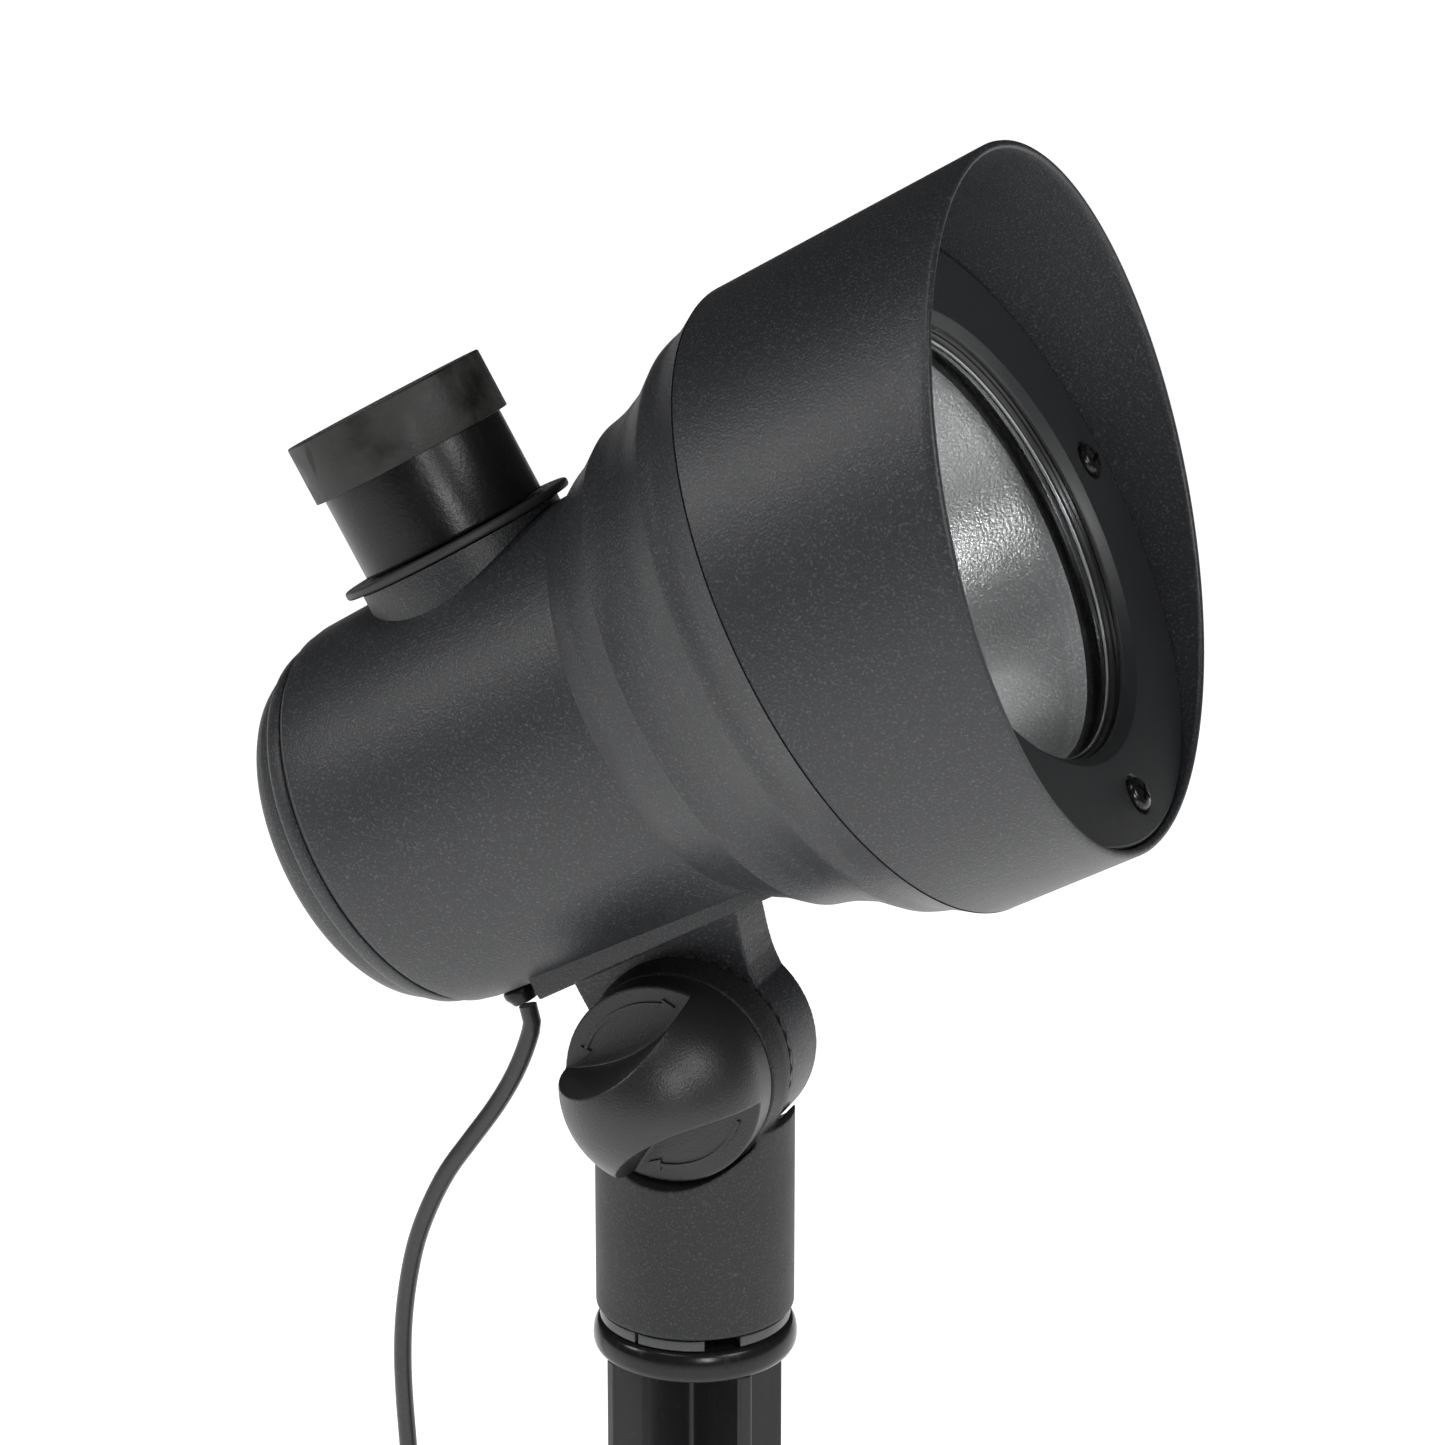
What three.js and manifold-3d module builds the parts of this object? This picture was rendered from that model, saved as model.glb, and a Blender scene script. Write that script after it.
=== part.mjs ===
// A garden spotlight on a ground stake: a hooded lamp head on a toothed clamp knuckle,
// a tube that turns on the stake's spigot, and a thin lead that hangs from the head.
// Millimetres, +Z up. +X is the way the lamp shines and -Y is the side of the clamp knob.
// The origin is on the stake's axis, at the underside of its collar: ground level in use.

import * as THREE from 'three';
import { mergeVertices } from 'three/addons/utils/BufferGeometryUtils.js';
import Module from 'manifold-3d';

const wasm = await Module();
wasm.setup();

// ---- Driving dimensions ------------------------------------------------------------------

const GAP = 0.3;                 // clearance between pieces that touch
const LARGE_ROUND = 32;          // facets around the large turned pieces
const MEDIUM_ROUND = 20;
const HOOD_ROUND = 40;
const SMALL_ROUND = 10;

const TUBE_RADIUS = 16;          // the tube between the stake and the knuckle
const TUBE_BOTTOM = 7.5;
const TUBE_TOP = 41.4;
const HINGE_HEIGHT = 50.3;       // the knuckle's axis above the origin
const LAMP_OFFSET = 54.1;        // from the knuckle's axis to the lamp's axis
const LAMP_TILT = THREE.MathUtils.degToRad(30);

const BARREL_REAR = -26;         // places along the lamp's axis, from abreast of the knuckle
const BARREL_FRONT = 24;
const NECK_FRONT = 65.3;
const BEZEL_BACK = 86.2;
const BEZEL_FRONT = 88.4;
const RIM_CENTRE = 101.5;
const RIM_SLANT = THREE.MathUtils.degToRad(13.75);
const HOOD_RADIUS = 52.05;       // outside, at its rear end
const HOOD_MOUTH_RADIUS = 53;    // outside, at the front
const HOOD_WALL = 1.35;
const FRAME_RADIUS = 48.2;       // the housing's front part, inside the hood
const BEZEL_RADIUS = 50.2;
const OPENING_RADIUS = 35.7;
const SCREW_SEAT = 87.6;         // floor of the recess around each bezel screw
const SCREW_CIRCLE = 44.5;
const SCREW_COUNT = 4;

const PAD_DROP = 34.4;           // the foot pad's underside, from the lamp's axis
const PAD_HALF_WIDTH = 12;
const PAD_REAR = -13.4;

const TURRET_PLACE = 6;          // along the lamp's axis
const BOSS_RADIUS = 17.2;
const BOSS_TOP = 34.8;           // heights in the turret, from the lamp's axis
const FLANGE_RADIUS = 19.6;
const FLANGE_TOP = 36.5;
const TURRET_RADIUS = 15.4;
const CAP_RADIUS = 16.8;
const CAP_BOTTOM = 50.6;
const CAP_TOP = 60.5;

const EAR_RADIUS = 16.6;         // the head's ear, on the far side of the teeth
const EAR_FAR_SIDE = 11.25;
const POST_EAR_RADIUS = 17;
const POST_EAR_SIDE = -8;
const TOOTH_COUNT = 36;          // one tooth for each 10 degrees of tilt
const TOOTH_HEIGHT = 0.75;
const TOOTH_PLANE = -1;          // where the two rings of teeth face each other
const BOLT_RADIUS = 3;

const KNOB_RADIUS = 16.4;
const KNOB_BASE = 8.4;           // distances out along -Y
const KNOB_FLAT = 14;
const KNOB_POCKET_RADIUS = 25.9; // the round cut that leaves each lens-shaped flat
const KNOB_POCKET_OFFSET = 32.2;
const KNOB_POCKET_ANGLE = THREE.MathUtils.degToRad(125.3);

const COLLAR_RADIUS = 16.5;
const COLLAR_TOP = 5.2;
const SPIGOT_RADIUS = 11;
const SPIGOT_TOP = 27;
const SPIKE_RADIUS = 15.9;
const SPIKE_STRAIGHT = 70;       // length of full width before the taper
const SPIKE_LENGTH = 190;
const RIB_THICKNESS = 2.4;
const RIB_TURN = 52;             // degrees from +X to the first rib

const GLAND_PLACE = -21.8;
const GLAND_SIDE = -1.5;
const GLAND_TIP = 35.2;
const CORD_RADIUS = 1.5;
const CORD_SIDES = 8;
const CORD_STEPS = 60;
const COIL_CENTRE = [-50, 8];
const COIL_MEAN_RADIUS = 18;
const COIL_TURNS_ACROSS = 3;
const COIL_LAYERS = 3;
const TIE_THICKNESS = 1;
const COIL_BASE = -SPIKE_LENGTH + TIE_THICKNESS + GAP;

// ---- Materials ---------------------------------------------------------------------------

const finish = (color, roughness, metalness) =>
  new THREE.MeshStandardMaterial({ color, roughness, metalness });

const POWDER_COAT = () => finish(0x3a3b3e, 0.6, 0.1);
const SATIN_PLASTIC = () => finish(0x27282a, 0.38, 0);
const TEXTURED_PLASTIC = () => finish(0x303133, 0.62, 0);
const GLOSS_PLASTIC = () => finish(0x161719, 0.15, 0);
const GREY_PLASTIC = () => finish(0x6a6c70, 0.5, 0);
const RUBBER = () => finish(0x1d1d1e, 0.85, 0);
const BLACK_STEEL = () => finish(0x121314, 0.3, 0.6);
const ZINC_STEEL = () => finish(0xa6a9ad, 0.35, 1);
const BRASS = () => finish(0xb08d4a, 0.35, 1);
const ALUMINIUM = () => finish(0xb9bbbe, 0.4, 1);
const MIRROR = () => finish(0xd9dbde, 0.12, 1);
const GLASS = () => finish(0xe4eef0, 0.04, 0);
const BOARD = () => finish(0x1f4a2c, 0.5, 0);
const WHITE_BOARD = () => finish(0xdfe1de, 0.5, 0);
const PHOSPHOR = () => finish(0xd8c65a, 0.4, 0);
const CORD_SHEATH = () => finish(0x1b1c1e, 0.4, 0);

// ---- Solids ------------------------------------------------------------------------------

function solidOf(geometry) {
  const bare = geometry.clone();
  bare.deleteAttribute('normal');
  bare.deleteAttribute('uv');
  const merged = mergeVertices(bare, 1e-4);
  const position = merged.attributes.position.array;
  const corners = merged.index.array;
  const faces = [];
  let sixVolumes = 0;
  for (let i = 0; i < corners.length; i += 3) {
    const [a, b, c] = [corners[i], corners[i + 1], corners[i + 2]];
    if (a === b || b === c || c === a) continue;
    faces.push(a, b, c);
    const at = (k) => new THREE.Vector3().fromArray(position, 3 * k);
    sixVolumes += at(a).dot(at(b).cross(at(c)));
  }
  if (sixVolumes < 0) faces.reverse();
  return new wasm.Manifold(new wasm.Mesh({
    numProp: 3,
    vertProperties: new Float32Array(position),
    triVerts: new Uint32Array(faces),
  }));
}

function meshOf(name, solid, material) {
  const { vertProperties, triVerts } = solid.getMesh();
  const geometry = new THREE.BufferGeometry();
  geometry.setAttribute('position', new THREE.BufferAttribute(vertProperties, 3));
  geometry.setIndex(new THREE.BufferAttribute(triVerts, 1));
  geometry.computeVertexNormals();
  const mesh = new THREE.Mesh(geometry, material);
  mesh.name = name;
  return mesh;
}

const joined = (...solids) => solids.reduce((whole, solid) => whole.add(solid));
const cut = (solid, ...tools) => tools.reduce((rest, tool) => rest.subtract(tool), solid);

// A turned solid about Z. The profile is a list of [radius, height]; a ring's closes on itself.
function turned(profile, segments = LARGE_ROUND) {
  const points = profile.map(([radius, height]) => new THREE.Vector2(radius, height));
  return new THREE.LatheGeometry(points, segments).rotateX(Math.PI / 2);
}

const ring = (inner, outer, bottom, top, segments = MEDIUM_ROUND) => turned(
  [[inner, bottom], [outer, bottom], [outer, top], [inner, top], [inner, bottom]], segments);

const rod = (radius, bottom, top, segments = MEDIUM_ROUND) =>
  turned([[0, bottom], [radius, bottom], [radius, top], [0, top]], segments);

const block = (x0, x1, y0, y1, z0, z1) => new THREE.BoxGeometry(x1 - x0, y1 - y0, z1 - z0)
  .translate((x0 + x1) / 2, (y0 + y1) / 2, (z0 + z1) / 2);

// Turn a piece built about Z so that it points along another axis.
const alongMinusX = (geometry) => geometry.rotateY(-Math.PI / 2);
const alongPlusX = (geometry) => geometry.rotateY(Math.PI / 2);
const alongMinusY = (geometry) => geometry.rotateX(Math.PI / 2);
const alongPlusY = (geometry) => geometry.rotateX(-Math.PI / 2);

// A ring of small radial teeth on the plane z = 0, standing up along +Z.
function toothRing(innerRadius, outerRadius) {
  const halfWidth = Math.PI * outerRadius / TOOTH_COUNT;
  const profile = new THREE.Shape([
    new THREE.Vector2(-halfWidth * 0.96, -GAP),
    new THREE.Vector2(halfWidth * 0.96, -GAP),
    new THREE.Vector2(0, TOOTH_HEIGHT),
  ]);
  const teeth = [];
  for (let i = 0; i < TOOTH_COUNT; i++) {
    const tooth = new THREE.ExtrudeGeometry(profile, {
      depth: outerRadius - innerRadius, bevelEnabled: false,
    });
    tooth.rotateX(Math.PI / 2).translate(0, outerRadius, 0);
    tooth.rotateZ(2 * Math.PI * i / TOOTH_COUNT);
    teeth.push(solidOf(tooth));
  }
  return joined(...teeth);
}

// ---- Lamp head, built about the lamp's axis: +Z forward, -X up towards the turret ----------

const head = new THREE.Group();
head.position.set(-LAMP_OFFSET * Math.sin(LAMP_TILT), 0,
  HINGE_HEIGHT + LAMP_OFFSET * Math.cos(LAMP_TILT));
head.rotation.y = Math.PI / 2 - LAMP_TILT;

const screwAngles = Array.from({ length: SCREW_COUNT }, (_, i) => 2 * Math.PI * i / SCREW_COUNT);
const screwSpots = screwAngles.map((angle) =>
  [SCREW_CIRCLE * Math.cos(angle), SCREW_CIRCLE * Math.sin(angle)]);
const armScrewPlaces = [-6, 10];
const ARM_SCREW_SIDE = 5;
const boardScrewSides = [-11, 11];

function lampHousing() {
  const shell = solidOf(turned([
    [0, BARREL_REAR], [31.4, BARREL_REAR], [32.2, -24.6], [32.5, -22],
    [34.1, BARREL_FRONT], [34.3, 29], [35.5, 30.8], [36.9, 33],
    [38.3, 36], [41.1, 40.5], [41.4, 42], [42.2, 45], [43.4, 48], [44.8, 51], [45.9, 52.5],
    [48.1, 55.5], [48.7, 57], [49.4, 60], [50.8, 63], [51.7, 64.5], [HOOD_RADIUS, NECK_FRONT], [FRAME_RADIUS, NECK_FRONT], [FRAME_RADIUS, BEZEL_BACK - GAP], [0, BEZEL_BACK - GAP],
  ]));
  const boss = solidOf(alongMinusX(rod(BOSS_RADIUS, 20, BOSS_TOP, LARGE_ROUND))
    .translate(0, 0, TURRET_PLACE));
  const pad = solidOf(block(24, PAD_DROP, -PAD_HALF_WIDTH, PAD_HALF_WIDTH, PAD_REAR, 33));
  const hollow = solidOf(turned([
    [0, BARREL_REAR - 1], [29.8, BARREL_REAR - 1], [30, -22], [31.5, 21],
    [27.5, 21], [27.5, BARREL_FRONT], [32, BARREL_FRONT], [32.2, 28.5], [33.6, 31],
    [35.3, 34.6], [38.4, 40.6], [39.4, 44], [41.2, 48.4], [43.4, 52.6], [45.8, 56.6],
    [45.8, 78], [38.4, 78], [38.4, 79.3], [39.7, 79.3], [39.7, BEZEL_BACK], [0, BEZEL_BACK],
  ]));
  const bossSeat = solidOf(alongMinusX(rod(14, 27.8, 33)).translate(0, 0, TURRET_PLACE));
  const turretHole = solidOf(alongMinusX(rod(9.3, 20, 40)).translate(0, 0, TURRET_PLACE));
  const glandHole = solidOf(alongPlusX(rod(2.3, 25, 40, SMALL_ROUND))
    .translate(0, GLAND_SIDE, GLAND_PLACE));
  const bezelScrewHoles = screwSpots.map(([x, y]) =>
    solidOf(rod(1.6, 79.5, 90, SMALL_ROUND).translate(x, y, 0)));
  const armScrewHoles = armScrewPlaces.map((z) =>
    solidOf(alongPlusX(rod(1.8, 25, 40, SMALL_ROUND)).translate(0, ARM_SCREW_SIDE, z)));
  const body = joined(cut(joined(shell, boss, pad), hollow), bossSeat);
  return cut(body, turretHole, glandHole, ...bezelScrewHoles, ...armScrewHoles);
}

function rearCap() {
  const cap = solidOf(turned([
    [0, BARREL_REAR + 5], [28.9, BARREL_REAR + 5],
    [28.9, -24.1], [27.4, -24.1], [27.4, -25.9], [28.9, -25.9],
    [28.9, BARREL_REAR - GAP], [31.2, BARREL_REAR - GAP], [30.6, -29.2], [28.7, -30.6],
    [28, -33.2], [25, -35], [14, -36.2], [0, -36.6],
  ]));
  const inside = solidOf(turned([
    [0, BARREL_REAR + 6], [25.5, BARREL_REAR + 6], [25.5, -31], [22, -32.6], [0, -33.6],
  ]));
  const leadNotch = solidOf(block(24, 31, GLAND_SIDE - 3.5, GLAND_SIDE + 3.5, -23.8, -18));
  const shelf = solidOf(block(9.2, 12, -13, 13, -33.2, -16));
  return joined(cut(cap, inside, leadNotch), shelf);
}

function glareHood() {
  const tube = solidOf(turned([
    [FRAME_RADIUS + 0.4, NECK_FRONT + GAP], [HOOD_RADIUS, NECK_FRONT + GAP],
    [HOOD_MOUTH_RADIUS, 122], [HOOD_MOUTH_RADIUS - HOOD_WALL, 122],
    [HOOD_RADIUS + 0.4 - HOOD_WALL, BEZEL_BACK - GAP],
    [FRAME_RADIUS + 0.4, BEZEL_BACK - GAP], [FRAME_RADIUS + 0.4, NECK_FRONT + GAP],
  ], HOOD_ROUND));
  const beyondRim = solidOf(new THREE.BoxGeometry(160, 160, 80).translate(0, 0, 40)
    .rotateY(RIM_SLANT).translate(0, 0, RIM_CENTRE));
  return cut(tube, beyondRim);
}

function bezelRing() {
  const plate = solidOf(turned([
    [35.1, BEZEL_BACK], [BEZEL_RADIUS, BEZEL_BACK], [BEZEL_RADIUS, BEZEL_FRONT],
    [OPENING_RADIUS + 0.9, BEZEL_FRONT], [35.1, BEZEL_BACK + 0.9], [35.1, BEZEL_BACK],
  ], HOOD_ROUND));
  return cut(plate, ...screwSpots.flatMap(([x, y]) => [
    solidOf(rod(1.6, BEZEL_BACK - 1, BEZEL_FRONT + 1, SMALL_ROUND).translate(x, y, 0)),
    solidOf(rod(3.3, SCREW_SEAT, BEZEL_FRONT + 1, 12).translate(x, y, 0)),
  ]));
}

const bezelScrew = () => solidOf(turned([
  [0, 80.5], [1.25, 80.5], [1.25, SCREW_SEAT + GAP], [2.75, SCREW_SEAT + GAP],
  [2.75, 88.8], [1.6, 89.6], [0, 89.7],
], SMALL_ROUND));

function reflector() {
  const throatRadius = 9.2;
  const throatPlace = 36;
  const mouthRadius = 35.6;
  const mouthPlace = 80.3;
  const wall = 1;
  const steps = 6;
  const inside = [];
  for (let i = 0; i <= steps; i++) {
    const radius = throatRadius + (mouthRadius - throatRadius) * i / steps;
    const share = (radius ** 2 - throatRadius ** 2) / (mouthRadius ** 2 - throatRadius ** 2);
    inside.push([radius, throatPlace + (mouthPlace - throatPlace) * share]);
  }
  const outside = inside.slice(0, -1).reverse().map(([r, z]) => [r + wall, z - wall / 2]);
  return solidOf(turned([
    ...inside, [mouthRadius, 81.1], [39.4, 81.1], [39.4, 79.6], [mouthRadius + wall, 79.6],
    ...outside, inside[0],
  ]));
}

function heatSink() {
  const finRadius = 20;
  const rootRadius = 11;
  const profile = [[0, 8]];
  for (const place of [8, 12, 16]) {
    profile.push([finRadius, place], [finRadius, place + 1.6]);
    profile.push([rootRadius, place + 1.6], [rootRadius, place + 4]);
  }
  profile.push([26, 20], [27, BARREL_FRONT + GAP], [31.4, BARREL_FRONT + GAP],
    [31.4, 28], [16, 31], [0, 31]);
  return cut(solidOf(turned(profile, MEDIUM_ROUND)), ...boardScrewSides.map((y) =>
    solidOf(rod(1.5, 25, 33, SMALL_ROUND).translate(0, y, 0))));
}

const boardScrew = (y) => solidOf(turned([
  [0, 26], [1.2, 26], [1.2, 33.2], [2.4, 33.2], [2.1, 34.4], [0, 34.6],
], SMALL_ROUND).translate(0, y, 0));

const ledBoard = () => cut(solidOf(rod(14, 31.3, 32.9)), ...boardScrewSides.map((y) =>
  solidOf(rod(1.5, 31, 34, SMALL_ROUND).translate(0, y, 0))));

const armScrew = (z) => solidOf(alongPlusX(turned([
  [0, 27], [2.9, 27.2], [2.9, 28.9], [1.5, 28.9], [1.5, 43], [0, 43.5],
], SMALL_ROUND)).translate(0, ARM_SCREW_SIDE, z));

const gland = () => solidOf(alongPlusX(turned([
  [0, 29.5], [2, 29.5], [2, 32.7], [2.8, 32.7], [2.7, 34.4], [2.3, GLAND_TIP], [0, GLAND_TIP],
], SMALL_ROUND)).translate(0, GLAND_SIDE, GLAND_PLACE));

head.add(
  meshOf('lamp_housing', lampHousing(), POWDER_COAT()),
  meshOf('rear_cap', rearCap(), POWDER_COAT()),
  meshOf('rear_cap_seal', solidOf(ring(27.7, 29.2, -25.7, -24.4, LARGE_ROUND)), RUBBER()),
  meshOf('glare_hood', glareHood(), POWDER_COAT()),
  meshOf('bezel_ring', bezelRing(), POWDER_COAT()),
  meshOf('lens_gasket', solidOf(ring(35.3, 39.4, 84.7, 85.9, LARGE_ROUND)), RUBBER()),
  meshOf('lens_glass', solidOf(rod(39.3, 81.4, 84.4, LARGE_ROUND)), GLASS()),
  meshOf('reflector', reflector(), MIRROR()),
  meshOf('heat_sink', heatSink(), ALUMINIUM()),
  meshOf('led_board', ledBoard(), WHITE_BOARD()),
  meshOf('led_emitter', solidOf(turned(
    [[0, 33.2], [7, 33.2], [7, 34.2], [5.6, 35], [3, 35.5], [0, 35.7]], MEDIUM_ROUND)), PHOSPHOR()),
  meshOf('driver_board', solidOf(block(7.3, 8.9, -13, 13, -31, 4)), BOARD()),
  meshOf('driver_choke', solidOf(block(-3, 7, -9, 3, -14, -2)), BLACK_STEEL()),
  meshOf('driver_capacitor', solidOf(rod(4, -27, -15, SMALL_ROUND).translate(2.9, 4, 0)), ALUMINIUM()),
  meshOf('cord_gland', gland(), GLOSS_PLASTIC()),
);
screwSpots.forEach(([x, y], i) => {
  const screw = meshOf(`bezel_screw_${i + 1}`, bezelScrew(), BLACK_STEEL());
  screw.position.set(x, y, 0);
  head.add(screw);
});
boardScrewSides.forEach((y, i) => {
  head.add(meshOf(`led_board_screw_${i + 1}`, boardScrew(y), ZINC_STEEL()));
});
armScrewPlaces.forEach((z, i) => {
  head.add(meshOf(`arm_screw_${i + 1}`, armScrew(z), ZINC_STEEL()));
});

// ---- Turret: the light sensor's housing, built up its own axis ------------------------------

const turret = new THREE.Group();
turret.position.z = TURRET_PLACE;
turret.rotation.y = -Math.PI / 2;
head.add(turret);

const NECK_RADIUS = 9;
const SENSOR_BOARD_SEAT = 53.7;
const HOUSING_TOP = 58.6;

const sensorHousing = () => solidOf(turned([
  [6, 22], [NECK_RADIUS, 22], [NECK_RADIUS, FLANGE_TOP + GAP],
  [TURRET_RADIUS, FLANGE_TOP + GAP], [TURRET_RADIUS, HOUSING_TOP],
  [13.6, HOUSING_TOP], [13.6, SENSOR_BOARD_SEAT], [12.4, SENSOR_BOARD_SEAT],
  [12.4, 39], [6, 39], [6, 22],
]));

const sensorCap = () => solidOf(turned([
  [TURRET_RADIUS + GAP, CAP_BOTTOM], [CAP_RADIUS, CAP_BOTTOM], [CAP_RADIUS, CAP_TOP - 0.5],
  [CAP_RADIUS - 0.5, CAP_TOP], [0, CAP_TOP], [0, HOUSING_TOP + GAP],
  [TURRET_RADIUS + GAP, HOUSING_TOP + GAP], [TURRET_RADIUS + GAP, CAP_BOTTOM],
]));

const sensorNut = () => cut(
  solidOf(rod(12.5, 24, 27.5, 6)), solidOf(rod(NECK_RADIUS + GAP, 23, 28.5)));

turret.add(
  meshOf('sensor_flange', solidOf(ring(
    NECK_RADIUS + GAP, FLANGE_RADIUS, BOSS_TOP + GAP, FLANGE_TOP, LARGE_ROUND)), RUBBER()),
  meshOf('sensor_housing', sensorHousing(), SATIN_PLASTIC()),
  meshOf('sensor_nut', sensorNut(), SATIN_PLASTIC()),
  meshOf('sensor_board', solidOf(rod(13.3, SENSOR_BOARD_SEAT + GAP, 55.6)), BOARD()),
  meshOf('photocell', solidOf(rod(2.6, 55.9, 57.8, SMALL_ROUND)), GLASS()),
  meshOf('sensor_cap', sensorCap(), RUBBER()),
);

// ---- Bracket arm: u runs along the lamp's axis and v up to the lamp, from the knuckle --------

const knuckle = new THREE.Group();
knuckle.position.z = HINGE_HEIGHT;

function bracketArm() {
  const top = LAMP_OFFSET - PAD_DROP - GAP;
  const outline = new THREE.Shape();
  outline.moveTo(PAD_REAR, top);
  outline.lineTo(PAD_REAR, 9.8);
  const rearAngle = Math.atan2(9.8, PAD_REAR);
  outline.absarc(0, 0, EAR_RADIUS, rearAngle, 2 * Math.PI + 0.35, false);
  outline.quadraticCurveTo(15.3, 8, 16, 11);
  outline.lineTo(18.6, top);
  outline.closePath();
  const toothFace = TOOTH_PLANE + GAP / 2 + TOOTH_HEIGHT;
  const plate = new THREE.ExtrudeGeometry(outline, {
    depth: EAR_FAR_SIDE - toothFace, bevelEnabled: false, curveSegments: LARGE_ROUND,
  });
  plate.rotateX(Math.PI / 2).translate(0, EAR_FAR_SIDE, 0).rotateY(-LAMP_TILT);
  const teeth = toothRing(9.5, EAR_RADIUS - 0.2).rotate([90, 0, 0]).translate([0, toothFace, 0]);
  const boltHole = solidOf(alongMinusY(rod(BOLT_RADIUS + 0.4, -20, 20)));
  const headPocket = solidOf(alongPlusY(rod(6.2, 6.9, 20, 6)));
  const screwHoles = armScrewPlaces.map((u) => solidOf(
    rod(1.8, top - 10, top + 5, SMALL_ROUND).translate(u, ARM_SCREW_SIDE, 0).rotateY(-LAMP_TILT)));
  return cut(joined(solidOf(plate), teeth), boltHole, headPocket, ...screwHoles);
}

const clampBolt = () => joined(
  solidOf(alongPlusY(rod(5.7, 7.2, 11, 6))),
  solidOf(alongPlusY(rod(BOLT_RADIUS, -24, 8))));

knuckle.add(
  meshOf('bracket_arm', bracketArm(), POWDER_COAT()),
  meshOf('clamp_bolt', clampBolt(), ZINC_STEEL()),
);

// ---- Post: the tube with the knuckle's near ear ---------------------------------------------

function postTube() {
  const pocketRadius = 17.1;
  const earFace = TOOTH_PLANE - GAP / 2 - TOOTH_HEIGHT;
  const tube = solidOf(rod(TUBE_RADIUS, TUBE_BOTTOM, TUBE_TOP, LARGE_ROUND));
  const farPocket = solidOf(alongPlusY(rod(pocketRadius, earFace, 20, HOOD_ROUND))
    .translate(0, 0, HINGE_HEIGHT));
  const nearPocket = solidOf(alongMinusY(rod(pocketRadius, -POST_EAR_SIDE, 20, HOOD_ROUND))
    .translate(0, 0, HINGE_HEIGHT));
  const ear = solidOf(alongMinusY(rod(POST_EAR_RADIUS, -earFace, -POST_EAR_SIDE, LARGE_ROUND))
    .translate(0, 0, HINGE_HEIGHT));
  const teeth = toothRing(9.5, EAR_RADIUS - 0.2).rotate([-90, 0, 0])
    .translate([0, earFace, HINGE_HEIGHT]);
  const socket = solidOf(rod(13.2, TUBE_BOTTOM - 1, 29.5));
  const boltHole = solidOf(alongMinusY(rod(BOLT_RADIUS + 0.4, -20, 20))
    .translate(0, 0, HINGE_HEIGHT));
  return cut(joined(cut(tube, farPocket, nearPocket), ear, teeth), socket, boltHole);
}

// ---- Clamp knob, built out along -Y -----------------------------------------------------------

function clampKnob() {
  const domeSteps = 7;
  const domeCentre = 13.6;
  const profile = [[0, 10.3], [8.2, 10.3], [8.2, KNOB_BASE], [15.8, KNOB_BASE], [16.3, 9.2]];
  for (let i = 0; i <= domeSteps; i++) {
    const angle = Math.PI / 2 * i / domeSteps;
    profile.push([KNOB_RADIUS * Math.cos(angle), domeCentre + KNOB_RADIUS * Math.sin(angle)]);
  }
  const pockets = [0, Math.PI].map((turn) => {
    const angle = KNOB_POCKET_ANGLE + turn;
    return solidOf(rod(KNOB_POCKET_RADIUS, KNOB_FLAT, 40, HOOD_ROUND).translate(
      KNOB_POCKET_OFFSET * Math.cos(angle), KNOB_POCKET_OFFSET * Math.sin(angle), 0));
  });
  return cut(solidOf(turned(profile)), ...pockets, solidOf(rod(4.6, 9, 25)));
}

const clamp = new THREE.Group();
clamp.rotation.x = Math.PI / 2;
clamp.add(
  meshOf('clamp_washer', solidOf(ring(BOLT_RADIUS + 0.4, 7.8, 8.3, 9.9)), ZINC_STEEL()),
  meshOf('clamp_knob', clampKnob(), SATIN_PLASTIC()),
  meshOf('knob_insert', solidOf(ring(BOLT_RADIUS + GAP, 4.3, 10.6, 24.7)), BRASS()),
);
knuckle.add(clamp);

// ---- Stake --------------------------------------------------------------------------------------

function stake() {
  const collar = solidOf(turned([
    [0, 0], [15.6, 0], [16.2, 0.6], [COLLAR_RADIUS, 1.6], [COLLAR_RADIUS, 3.6],
    [16.1, 4.7], [15.4, COLLAR_TOP], [SPIGOT_RADIUS, COLLAR_TOP], [SPIGOT_RADIUS, 26],
    [10, SPIGOT_TOP], [0, SPIGOT_TOP],
  ]));
  const outline = new THREE.Shape([
    [-SPIKE_RADIUS, 1], [-SPIKE_RADIUS, -SPIKE_STRAIGHT], [-1.2, -SPIKE_LENGTH],
    [1.2, -SPIKE_LENGTH], [SPIKE_RADIUS, -SPIKE_STRAIGHT], [SPIKE_RADIUS, 1],
  ].map(([x, z]) => new THREE.Vector2(x, z)));
  const ribs = [RIB_TURN, RIB_TURN + 90].map((degrees) => {
    const rib = new THREE.ExtrudeGeometry(outline, { depth: RIB_THICKNESS, bevelEnabled: false });
    rib.translate(0, 0, -RIB_THICKNESS / 2).rotateX(Math.PI / 2);
    return solidOf(rib.rotateZ(THREE.MathUtils.degToRad(degrees)));
  });
  return joined(collar, ...ribs);
}

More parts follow.
